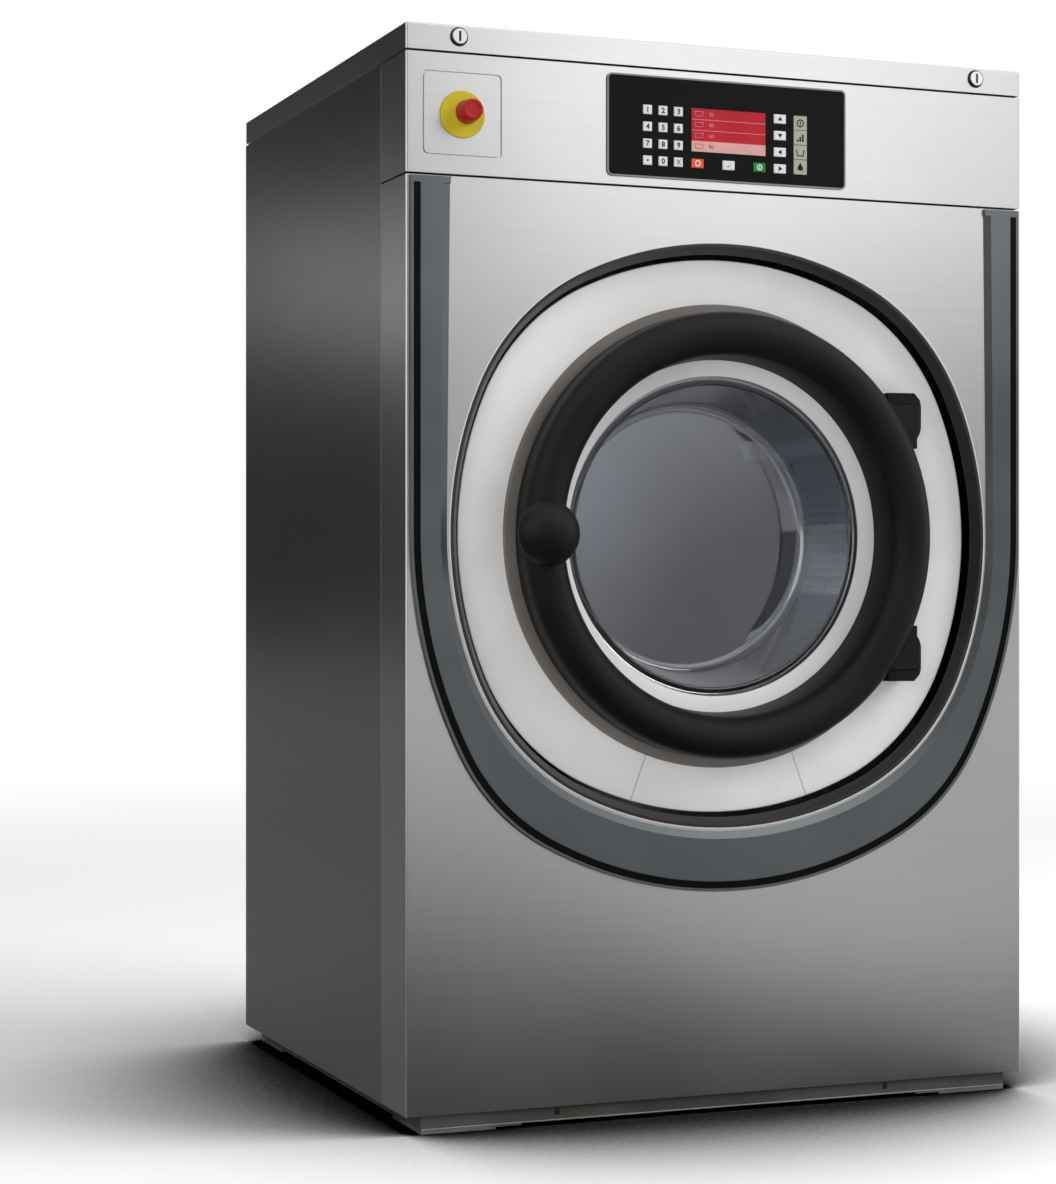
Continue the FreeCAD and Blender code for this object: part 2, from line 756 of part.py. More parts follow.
def build_tub():
    plate = opening_slab(-plate_margin, plate_depth, plate_back)
    plate = plate.cut(disc(mouth_radius, plate_depth, plate_back, 0, door_height))
    reach = opening_half_x * 2
    seam_box = box(seat_radius, depth(plate_depth), door_height - plate_seam_width / 2, reach,
                   depth(plate_depth + plate_seam_depth), door_height + plate_seam_width / 2)
    for turn in (plate_seam_angle, -plate_seam_angle):
        groove = seam_box.copy()
        groove.rotate(V(0, 0, door_height), ALONG_Y, 90 + turn)
        plate = plate.cut(groove)
    plate = plate.cut(latch_slot(plate_depth, plate_back))

    seat = tube(seat_radius, mouth_radius, plate_depth - seat_thickness, plate_depth, 0, door_height)
    front_rim = edges_where(seat, lambda b: b.YMax < depth(plate_depth - seat_thickness) + 0.01)
    outer_rim = [edge for edge in front_rim if edge.BoundBox.XLength > 2 * seat_radius - 1]
    seat = seat.makeFillet(seat_thickness / 2, outer_rim)
    seat = seat.cut(latch_slot(plate_depth - seat_thickness, plate_depth))

    gasket = turned([(mouth_radius, plate_back), (mouth_radius + gasket_wall, plate_back),
                     (mouth_radius + gasket_wall, gasket_back), (gasket_lip_radius, gasket_back),
                     (gasket_lip_radius, gasket_lip_front), (mouth_radius, gasket_lip_front)])

    inner, inside_back = tub_radius - tub_wall, tub_back_depth - tub_wall
    shell = turned([(tub_radius, plate_back), (tub_radius, tub_back_depth), (tub_back_hole, tub_back_depth),
                    (tub_back_hole, inside_back), (inner, inside_back), (inner, plate_back)])

    wing_top = saddle_bottom + saddle_wing_height
    wrap = math.radians(saddle_wrap_angle)
    crown = door_height - tub_radius * math.cos(wrap)
    crown_half_width = tub_radius * math.sin(wrap) + saddle_horn
    outline = [(-saddle_half_width, saddle_bottom), (saddle_half_width, saddle_bottom),
               (saddle_half_width, wing_top), (crown_half_width, crown),
               (-crown_half_width, crown), (-saddle_half_width, wing_top)]
    saddles = []
    for start in (saddle_front_depth, saddle_rear_depth):
        saddle = prism_y(outline, start, start + saddle_thickness)
        saddles.append(saddle.cut(disc(tub_radius, start, start + saddle_thickness, 0, door_height)))

    bore = shaft_radius + shaft_clearance
    flange_back = tub_back_depth + housing_flange_thickness
    cone_back = flange_back + housing_flange_thickness
    nose_radius = housing_radius - housing_flange_thickness / 2
    housing = turned([(bore, tub_back_depth), (housing_flange_radius, tub_back_depth),
                      (housing_flange_radius, flange_back), (housing_radius, cone_back),
                      (nose_radius, housing_end_depth), (bore, housing_end_depth)])
    return {"tub_front_plate": plate, "door_seat_ring": seat, "door_gasket": gasket, "tub_shell": shell,
            "tub_saddles": Part.makeCompound(saddles), "bearing_housing": housing}


def build_drum():
    back = drum_back_depth
    inner = drum_radius - drum_wall
    front = drum_front_depth
    shell = turned([(drum_radius, front), (drum_radius, back), (0, back), (0, back - drum_wall),
                    (inner, back - drum_wall), (inner, front + drum_wall),
                    (drum_mouth_radius, front + drum_wall), (drum_mouth_radius, front)])
    lip_centre = V(0, depth(front + drum_lip_radius), door_height)
    lip = Part.makeTorus(drum_mouth_radius, drum_lip_radius, lip_centre, ALONG_Y)
    shell = shell.fuse(lip).removeSplitter()

    root = math.sqrt(inner ** 2 - (lifter_width / 2) ** 2) - shaft_clearance
    outline = [(-lifter_width / 2, -root), (lifter_width / 2, -root),
               (lifter_crest / 2, lifter_height - inner), (-lifter_crest / 2, lifter_height - inner)]
    inside_crest = lifter_height - inner - 2 * lifter_wall
    inside = [(2 * lifter_wall - lifter_width / 2, -root), (lifter_width / 2 - 2 * lifter_wall, -root),
              (lifter_crest / 2 - lifter_wall, inside_crest), (lifter_wall - lifter_crest / 2, inside_crest)]
    lifters = []
    start, end = front + drum_wall + lifter_end_gap, back - drum_wall
    for turn in (0, 120, 240):
        lifter = prism_y([(x, door_height + z) for x, z in outline], start, end)
        crest_z = door_height + lifter_height - inner
        crest = edges_where(lifter, lambda b: b.YLength > 1 and b.ZMin > crest_z - 1)
        lifter = lifter.makeFillet(lifter_crest / 3, crest)
        hollow = prism_y([(x, door_height + z) for x, z in inside], start + lifter_wall, end - lifter_wall)
        lifter = lifter.cut(hollow)
        lifter.rotate(V(0, 0, door_height), ALONG_Y, turn)
        lifters.append(lifter)

    shaft = disc(shaft_radius, back, pulley_back, 0, door_height)
    shaft = shaft.fuse(disc(spider_hub_radius, back, back + spider_thickness, 0, door_height))
    for turn in (90, 210, 330):
        arm = box(0, depth(back), door_height - spider_arm_width / 2, drum_radius - drum_wall,
                  depth(back + spider_thickness / 2), door_height + spider_arm_width / 2)
        arm.rotate(V(0, 0, door_height), ALONG_Y, turn)
        shaft = shaft.fuse(arm)
    return {"drum_shell": shell, "drum_lifters": Part.makeCompound(lifters),
            "drum_shaft": shaft.removeSplitter()}


def belt_outline(grow):
    # The loop round both pulleys, offset outwards by grow: two arcs and two tangent lines.
    y = depth(pulley_depth + (pulley_width - belt_width) / 2)
    lean = math.asin((drum_pulley_radius - motor_pulley_radius) / drive_centres)

    def at(z, radius, angle):
        return V(radius * math.cos(angle), y, z + radius * math.sin(angle))

    big = drum_pulley_radius + grow
    small = motor_pulley_radius + grow
    right, left = -lean, math.pi + lean
    edges = [
        Part.Arc(at(door_height, big, right), at(door_height, big, math.pi / 2),
                 at(door_height, big, left)).toShape(),
        Part.makeLine(at(door_height, big, left), at(motor_height, small, left)),
        Part.Arc(at(motor_height, small, left), at(motor_height, small, -math.pi / 2),
                 at(motor_height, small, right)).toShape(),
        Part.makeLine(at(motor_height, small, right), at(door_height, big, right))]
    return Part.Face(Part.Wire(edges))


def build_drive():
    back = pulley_back
    web_front = pulley_depth + (pulley_width - pulley_web_thickness) / 2
    web_back = web_front + pulley_web_thickness
    rim = drum_pulley_radius - pulley_rim
    pulley = turned([(shaft_radius, pulley_depth), (pulley_hub_radius, pulley_depth),
                     (pulley_hub_radius, web_front),
                     (rim, web_front), (rim, pulley_depth), (drum_pulley_radius, pulley_depth),
                     (drum_pulley_radius, back), (rim, back), (rim, web_back), (pulley_hub_radius, web_back),
                     (pulley_hub_radius, back), (shaft_radius, back)])
    window_ring = (pulley_hub_radius + rim) / 2
    window_radius = (rim - pulley_hub_radius) / 2 - pulley_window_margin
    for index in range(pulley_windows):
        turn = 2 * math.pi * index / pulley_windows
        pulley = pulley.cut(disc(window_radius, web_front, web_back, window_ring * math.cos(turn),
                                 door_height + window_ring * math.sin(turn)))

    belt = belt_outline(belt_clearance + belt_thickness).extrude(V(0, belt_width, 0))
    belt = belt.cut(belt_outline(belt_clearance).extrude(V(0, belt_width, 0)))

    motor = disc(motor_radius - motor_fin_height, motor_front_depth, motor_rear_depth, 0, motor_height)
    fin_start = motor_front_depth + motor_foot_thickness
    fin_end = motor_rear_depth - motor_foot_thickness
    for index in range(motor_fins):
        turn = 360 * index / motor_fins
        fin = box(0, depth(fin_start), motor_height - motor_fin_width / 2, motor_radius, depth(fin_end),
                  motor_height + motor_fin_width / 2)
        fin.rotate(V(0, 0, motor_height), ALONG_Y, turn)
        motor = motor.fuse(fin)
    foot_bottom = motor_height + motor_radius - motor_foot_thickness
    foot_end = saddle_rear_depth + saddle_thickness
    motor = motor.fuse(box(-motor_foot_half_width, depth(motor_front_depth), foot_bottom,
                           motor_foot_half_width, depth(foot_end), saddle_bottom))
    bore = motor_shaft_radius + shaft_clearance
    seat_depth = motor_rear_depth - motor_shaft_seat
    motor = motor.removeSplitter().cut(disc(bore, seat_depth, motor_rear_depth, 0, motor_height))
    motor_pulley = disc(motor_pulley_radius, pulley_depth, back, 0, motor_height)
    motor_shaft = disc(motor_shaft_radius, seat_depth + shaft_clearance, back, 0, motor_height)
    motor_pulley = motor_pulley.fuse(motor_shaft).removeSplitter()
    return {"drum_pulley": pulley, "drive_belt": belt, "motor": motor, "motor_pulley": motor_pulley}


def build_door():
    outer = ring_outer_radius
    inner = ring_inner_radius
    tube_depth = -ring_tube_forward

    def at(radius, d):
        return V(radius, depth(d), door_height)

    crown = Part.Arc(at(outer, tube_depth), at(ring_tube_centre, tube_depth - ring_tube_radius),
                     at(inner, tube_depth)).toShape()
    slope = ring_taper / (ring_skirt_depth - tube_depth)
    edge = ring_inner_back_radius
    skirt = edge + ring_skirt_wall
    rest = Part.makePolygon([at(inner, tube_depth), at(edge, ring_skirt_depth), at(skirt, ring_skirt_depth),
                             at(skirt + slope * (ring_skirt_depth - ring_back_depth), ring_back_depth),
                             at(outer, ring_back_depth), at(outer, tube_depth)])
    ring = Part.Face(Part.Wire([crown] + rest.Edges)).revolve(V(0, 0, door_height), ALONG_Y, 360)
    recess_inner = edge + ring_inner_wall
    ring = ring.cut(tube(outer - ring_outer_wall, recess_inner, ring_back_depth - ring_recess_depth,
                         ring_back_depth, 0, door_height))
    ring = ring.cut(disc(spindle_radius + shaft_clearance, -knob_back, ring_back_depth, knob_x, door_height))

    trim = turned([(edge + slope * trim_wall, ring_skirt_depth - trim_wall), (edge, ring_skirt_depth),
                   (trim_inner_radius, trim_inner_depth + trim_wall), (trim_inner_radius, trim_inner_depth)])

    rim_front, rim_back, floor = glass_rim_front, glass_rim_back, bowl_depth
    inner_floor = floor - glass_wall
    glass = turned([(glass_rim_radius, rim_front), (glass_rim_radius, rim_back), (bowl_top_radius, rim_back),
                    (bowl_floor_radius, floor), (0, floor), (0, inner_floor),
                    (bowl_floor_radius - glass_wall, inner_floor), (bowl_top_radius - glass_wall, rim_front)])
    bends = edges_where(glass, lambda b: b.YMin > depth(rim_back) + 1)
    inside = [e for e in bends if bowl_floor_radius < e.BoundBox.XLength < 2 * bowl_floor_radius - 1]
    glass = glass.makeFillet(bowl_fillet, inside)
    return {"door_ring": ring, "door_trim_ring": trim, "door_glass": glass}


def build_hinges():
    # The upper hinge is built; the lower one is its mirror image about the middle of the door.
    middle = door_height
    axis_y, front = depth(-hinge_forward), depth(-hinge_front)
    right, waist = hinge_right, hinge_right - hinge_waist
    split = middle + hinge_outer_z - hinge_knuckle_height
    top, arm_top = middle + hinge_outer_z, split - hinge_gap
    bottom = middle + hinge_inner_z
    waist_top = bottom + hinge_waist_height
    shoulder = waist_top + hinge_taper_height
    bore_end = shoulder + hinge_floor

    left, back = right - hinge_arm_length, depth(hinge_arm_back_depth)
    plan = [(left, front), (right - hinge_corner, front), (right, front + hinge_corner), (right, back),
            (left, back)]
    face = [(left, bottom), (waist, bottom), (waist, waist_top), (right, shoulder), (right, arm_top),
            (left, arm_top)]
    arm = prism_z(plan, bottom, arm_top).common(prism_y(face, -hinge_front, hinge_arm_back_depth))
    arm = arm.cut(disc(ring_outer_radius, -hinge_front, ring_back_depth, 0, middle))
    arm = arm.cut(post(hinge_pin_radius + shaft_clearance, bore_end, arm_top, hinge_x, axis_y))

    left, back = hinge_x - hinge_foot_reach, depth(plate_depth)
    plan = [(left, back), (left, axis_y), (hinge_x, front), (right - hinge_corner, front),
            (right, front + hinge_corner), (right, back)]
    face = [(left, split), (right, split), (right - hinge_knuckle_slope, top), (left, top)]
    bracket = prism_z(plan, split, top).common(prism_y(face, -hinge_front, plate_depth))
    bracket = bracket.cut(disc(seat_radius, plate_depth - seat_thickness, plate_depth, 0, middle))
    pin = post(hinge_pin_radius, bore_end + hinge_gap, split, hinge_x, axis_y)
    bracket = bracket.fuse(pin).removeSplitter()

    centre, upwards = V(0, 0, middle), V(0, 0, 1)
    return {"hinge_arms": Part.makeCompound([arm, arm.mirror(centre, upwards)]),
            "hinge_brackets": Part.makeCompound([bracket, bracket.mirror(centre, upwards)])}


def build_knob():
    sphere = (knob_radius ** 2 + knob_dome ** 2) / (2 * knob_dome)
    face = -knob_reach
    widest = -knob_back - knob_shoulder
    sweep = math.atan2(knob_radius, sphere - knob_dome) / 2

    def at(radius, d):
        return V(knob_x + radius, depth(d), door_height)

    halfway = at(sphere * math.sin(sweep), face + sphere - sphere * math.cos(sweep))
    dome = Part.Arc(at(knob_radius, widest), halfway, at(0, face)).toShape()
    rest = Part.makePolygon([at(0, face), at(0, -knob_back), at(knob_radius - knob_shoulder, -knob_back),
                             at(knob_radius, widest)])
    knob = Part.Face(Part.Wire([dome] + rest.Edges)).revolve(V(knob_x, 0, door_height), ALONG_Y, 360)
    knob = knob.fuse(disc(spindle_radius, -knob_back, latch_depth, knob_x, door_height))
    latch = box(knob_x - latch_width / 2, depth(latch_depth), door_height - latch_length / 2,
                knob_x + latch_width / 2, depth(latch_depth + latch_thickness),
                door_height + latch_length / 2)
    return {"door_knob": knob.fuse(latch).removeSplitter()}


def build_connections():
    back = cabinet_depth
    end = cabinet_depth + rear_reach
    fittings = []
    for x in (inlet_x, inlet_x + inlet_pitch):
        stub = disc(inlet_radius, back - sheet, end, x, inlet_height)
        nut = hex_nut(inlet_nut_radius, back, back + inlet_nut_length, x, inlet_height)
        bore = disc(inlet_bore, back - sheet, end, x, inlet_height)
        fittings.append(stub.fuse(nut).removeSplitter().cut(bore))
    pipe = disc(drain_radius, back - sheet, end, drain_x, drain_height)
    pipe = pipe.fuse(disc(drain_flange_radius, back, back + drain_flange_thickness, drain_x, drain_height))
    bore = disc(drain_radius - drain_wall, back - sheet, end, drain_x, drain_height)
    fittings.append(pipe.removeSplitter().cut(bore))
    gland = disc(gland_radius, back - sheet, back + gland_length, gland_x, gland_height)
    gland = gland.fuse(hex_nut(gland_nut_radius, back, back + gland_nut_length, gland_x, gland_height))
    bore = disc(gland_bore, back - sheet, back + gland_length, gland_x, gland_height)
    fittings.append(gland.removeSplitter().cut(bore))
    return {"rear_connections": Part.makeCompound(fittings)}


nodes = {}
for build in (build_base, build_feet, build_panels, build_lid, build_opening_lip, build_moulding,
              build_emergency_stop, build_controls, build_suspension, build_tub, build_drum, build_drive,
              build_door, build_hinges, build_knob, build_connections):
    nodes.update(build())

os.makedirs("parts", exist_ok=True)
for name, shape in nodes.items():
    shape.exportStep("parts/" + name + ".step")
    volumes = [solid.Volume for solid in shape.Solids]
    print(name, len(volumes), "solids", round(sum(volumes)), "mm3", shape.isValid())
print(len(nodes), "nodes")
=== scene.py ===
import json
import math

import bmesh
import bpy
from mathutils import Matrix, Vector


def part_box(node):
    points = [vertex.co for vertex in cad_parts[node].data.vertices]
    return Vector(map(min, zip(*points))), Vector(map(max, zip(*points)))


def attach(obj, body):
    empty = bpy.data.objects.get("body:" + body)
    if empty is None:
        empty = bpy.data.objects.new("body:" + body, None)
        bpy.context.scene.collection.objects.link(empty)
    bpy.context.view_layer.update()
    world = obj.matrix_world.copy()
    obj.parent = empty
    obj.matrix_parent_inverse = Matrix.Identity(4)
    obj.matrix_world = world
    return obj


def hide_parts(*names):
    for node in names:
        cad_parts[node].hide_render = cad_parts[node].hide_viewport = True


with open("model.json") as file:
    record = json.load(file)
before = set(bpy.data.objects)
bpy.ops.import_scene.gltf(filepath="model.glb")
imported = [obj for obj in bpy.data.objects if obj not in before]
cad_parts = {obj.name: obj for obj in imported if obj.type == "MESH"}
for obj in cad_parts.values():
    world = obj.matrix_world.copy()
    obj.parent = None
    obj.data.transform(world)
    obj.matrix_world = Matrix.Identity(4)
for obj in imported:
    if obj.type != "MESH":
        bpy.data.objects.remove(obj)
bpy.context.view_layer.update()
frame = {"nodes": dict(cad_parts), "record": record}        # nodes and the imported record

nodes = frame["nodes"]
print("frame loaded:", len(nodes), "nodes")


# colours are written as sRGB bytes and turned into the linear values of the sockets
def colour(red, green, blue):
    def toLinear(byte):
        share = byte / 255
        return share / 12.92 if share <= 0.04045 else ((share + 0.055) / 1.055) ** 2.4
    return (toLinear(red), toLinear(green), toLinear(blue), 1.0)


# shared effects as node groups

effects = {
    "levelFrom": 0.7,        # a face counts as level above this share of upward normal
    # detail and roughness of each noise
    "scratches": (3.0, 0.65), "sheetCloud": (2.0, 0.5), "pebble": (2.0, 0.5), "mouldCloud": (3.0, 0.55),
    "noiseRange": (0.3, 0.7), "pebbleRange": (0.25, 0.75), "bevelSamples": 4,
    "scratchDepth": 0.0001, "pebbleDepth": 0.0002,
}


def startGroup(name, inputs, outputs):
    tree = bpy.data.node_groups.new(name, "ShaderNodeTree")
    for title, kind, value in inputs:
        socket = tree.interface.new_socket(title, in_out="INPUT", socket_type=kind)
        socket.default_value = value
    for title, kind in outputs:
        tree.interface.new_socket(title, in_out="OUTPUT", socket_type=kind)
    return tree, tree.nodes.new("NodeGroupInput"), tree.nodes.new("NodeGroupOutput")


def stretchedNoise(tree, entry, scale, detail, roughness):
    stretch = tree.nodes.new("ShaderNodeVectorMath")
    stretch.operation = "MULTIPLY"
    tree.links.new(entry.outputs["Vector"], stretch.inputs[0])
    tree.links.new(scale, stretch.inputs[1])
    noise = tree.nodes.new("ShaderNodeTexNoise")
    noise.inputs["Scale"].default_value = 1.0
    noise.inputs["Detail"].default_value = detail
    noise.inputs["Roughness"].default_value = roughness
    tree.links.new(stretch.outputs[0], noise.inputs["Vector"])
    return noise


def spread(tree, source, low, high, toLow=0.0, toHigh=1.0):
    ramp = tree.nodes.new("ShaderNodeMapRange")
    ramp.interpolation_type = "SMOOTHSTEP"
    for title, value in (("From Min", low), ("From Max", high), ("To Min", toLow), ("To Max", toHigh)):
        ramp.inputs[title].default_value = value
    tree.links.new(source, ramp.inputs["Value"])
    return ramp.outputs["Result"]


def turnedOnLevel(tree, stretch):
    # on level faces the scratches follow the width instead of standing on end
    parts = tree.nodes.new("ShaderNodeSeparateXYZ")
    tree.links.new(stretch, parts.inputs[0])
    swapped = tree.nodes.new("ShaderNodeCombineXYZ")
    for source, target in (("X", "X"), ("Y", "Z"), ("Z", "Y")):
        tree.links.new(parts.outputs[source], swapped.inputs[target])
    face = tree.nodes.new("ShaderNodeNewGeometry")
    facing = tree.nodes.new("ShaderNodeSeparateXYZ")
    tree.links.new(face.outputs["True Normal"], facing.inputs[0])
    level = tree.nodes.new("ShaderNodeMath")
    level.operation = "GREATER_THAN"
    level.inputs[1].default_value = effects["levelFrom"]
    tree.links.new(facing.outputs["Z"], level.inputs[0])
    mix = tree.nodes.new("ShaderNodeMix")
    mix.data_type = "VECTOR"
    tree.links.new(level.outputs[0], mix.inputs["Factor"])
    vectors = [s for s in mix.inputs if s.type == "VECTOR" and s.name in ("A", "B")]
    tree.links.new(stretch, vectors[0])
    tree.links.new(swapped.outputs[0], vectors[1])
    return next(s for s in mix.outputs if s.type == "VECTOR")


def brushedLinesGroup():
    # long fine scratches: Tone runs 0 to 1, Smudge is a broad soft cloud
    tree, entry, leave = startGroup(
        "brushedLines",
        [("Vector", "NodeSocketVector", (0, 0, 0)), ("Stretch", "NodeSocketVector", (1, 1, 1)),
         ("Cloud", "NodeSocketVector", (3, 3, 3))],
        [("Tone", "NodeSocketFloat"), ("Smudge", "NodeSocketFloat")])
    along = turnedOnLevel(tree, entry.outputs["Stretch"])
    lines = stretchedNoise(tree, entry, along, *effects["scratches"])
    cloud = stretchedNoise(tree, entry, entry.outputs["Cloud"], *effects["sheetCloud"])
    tree.links.new(spread(tree, lines.outputs["Fac"], *effects["noiseRange"]), leave.inputs["Tone"])
    tree.links.new(spread(tree, cloud.outputs["Fac"], *effects["noiseRange"]), leave.inputs["Smudge"])
    return tree


def mouldGrainGroup():
    # the fine pebble of moulded plastic, rubber and castings, with a broad cloud beside it
    tree, entry, leave = startGroup(
        "mouldGrain",
        [("Vector", "NodeSocketVector", (0, 0, 0)), ("Pebble", "NodeSocketVector", (900, 900, 900)),
         ("Cloud", "NodeSocketVector", (9, 9, 9))],
        [("Height", "NodeSocketFloat"), ("Smudge", "NodeSocketFloat")])
    pebble = stretchedNoise(tree, entry, entry.outputs["Pebble"], *effects["pebble"])
    cloud = stretchedNoise(tree, entry, entry.outputs["Cloud"], *effects["mouldCloud"])
    tree.links.new(spread(tree, pebble.outputs["Fac"], *effects["pebbleRange"]), leave.inputs["Height"])
    tree.links.new(spread(tree, cloud.outputs["Fac"], *effects["noiseRange"]), leave.inputs["Smudge"])
    return tree


def softEdgeGroup():
    # rounds sharp sheet edges in the shading
    tree, entry, leave = startGroup(
        "softEdge", [("Radius", "NodeSocketFloat", 0.001)], [("Normal", "NodeSocketVector")])
    bevel = tree.nodes.new("ShaderNodeBevel")
    bevel.samples = effects["bevelSamples"]
    tree.links.new(entry.outputs["Radius"], bevel.inputs["Radius"])
    tree.links.new(bevel.outputs["Normal"], leave.inputs["Normal"])
    return tree


brushedLines = brushedLinesGroup()
mouldGrain = mouldGrainGroup()
softEdge = softEdgeGroup()
print("shared effects made")


# finishes

def startFinish(name, metallic, roughness, specular=0.5):
    finish = bpy.data.materials.new(name)
    finish.use_nodes = True
    tree = finish.node_tree
    shader = tree.nodes["Principled BSDF"]
    shader.inputs["Metallic"].default_value = metallic
    shader.inputs["Roughness"].default_value = roughness
    shader.inputs["Specular IOR Level"].default_value = specular
    return finish, tree, shader


def addGroup(tree, group, **values):
    node = tree.nodes.new("ShaderNodeGroup")
    node.node_tree = group
    for title, value in values.items():
        node.inputs[title].default_value = value
    if "Vector" in node.inputs:
        place = tree.nodes.new("ShaderNodeTexCoord")
        tree.links.new(place.outputs["Object"], node.inputs["Vector"])
    return node


def mixColours(tree, factor, low, high):
    mix = tree.nodes.new("ShaderNodeMix")
    mix.data_type = "RGBA"
    for title, value in (("A", low), ("B", high)):
        socket = next(s for s in mix.inputs if s.name == title and s.type == "RGBA")
        socket.default_value = value
    tree.links.new(factor, mix.inputs["Factor"])
    return next(s for s in mix.outputs if s.type == "RGBA")


def addBump(tree, shader, height, distance, strength, normal):
    bump = tree.nodes.new("ShaderNodeBump")
    bump.inputs["Distance"].default_value = distance
    bump.inputs["Strength"].default_value = strength
    tree.links.new(height, bump.inputs["Height"])
    tree.links.new(normal, bump.inputs["Normal"])
    tree.links.new(bump.outputs["Normal"], shader.inputs["Normal"])


def brushedMetal(name, dark, light, stretch, rough=(0.28, 0.4), strength=0.12, edge=0.0012):
    finish, tree, shader = startFinish(name, 1.0, rough[0])
    lines = addGroup(tree, brushedLines, Stretch=stretch)
    rim = addGroup(tree, softEdge, Radius=edge)
    tree.links.new(mixColours(tree, lines.outputs["Tone"], dark, light), shader.inputs["Base Color"])
    tree.links.new(spread(tree, lines.outputs["Smudge"], 0, 1, *rough), shader.inputs["Roughness"])
    addBump(tree, shader, lines.outputs["Tone"], effects["scratchDepth"], strength, rim.outputs["Normal"])
    return finish


def moulded(name, low, high, rough, pebble, strength, specular=0.5, metallic=0.0, edge=0.0006):
    finish, tree, shader = startFinish(name, metallic, rough[0], specular)
    grain = addGroup(tree, mouldGrain, Pebble=(pebble, pebble, pebble))
    rim = addGroup(tree, softEdge, Radius=edge)
    tree.links.new(mixColours(tree, grain.outputs["Smudge"], low, high), shader.inputs["Base Color"])
    tree.links.new(spread(tree, grain.outputs["Smudge"], 0, 1, *rough), shader.inputs["Roughness"])
    addBump(tree, shader, grain.outputs["Height"], effects["pebbleDepth"], strength, rim.outputs["Normal"])
    return finish


glassLook = {"ior": 1.55, "coat": 1.0, "coatIor": 1.7, "coatRough": 0.02, "smear": 0.03, "cloud": (7, 7, 7)}


def clearGlass(name, tint, roughness, clear):
    finish, tree, shader = startFinish(name, 0.0, roughness)
    shader.inputs["Base Color"].default_value = tint
    shader.inputs["Transmission Weight"].default_value = clear        # the rest is a faint haze
    shader.inputs["IOR"].default_value = glassLook["ior"]
    shader.inputs["Coat Weight"].default_value = glassLook["coat"]        # the polish of the outer faces
    shader.inputs["Coat IOR"].default_value = glassLook["coatIor"]
    shader.inputs["Coat Roughness"].default_value = glassLook["coatRough"]
    smear = addGroup(tree, mouldGrain, Cloud=glassLook["cloud"])
    tree.links.new(spread(tree, smear.outputs["Smudge"], 0, 1, roughness, roughness + glassLook["smear"]),
                   shader.inputs["Roughness"])
    return finish


screenLook = {"roughness": 0.35, "specular": 0.2, "cloud": (30, 30, 30)}


def litScreen(name, low, high, glow):
    finish, tree, shader = startFinish(name, 0.0, screenLook["roughness"], screenLook["specular"])
    grain = addGroup(tree, mouldGrain, Cloud=screenLook["cloud"])
    face = mixColours(tree, grain.outputs["Smudge"], low, high)
    tree.links.new(face, shader.inputs["Base Color"])
    tree.links.new(face, shader.inputs["Emission Color"])
    shader.inputs["Emission Strength"].default_value = glow
    return finish


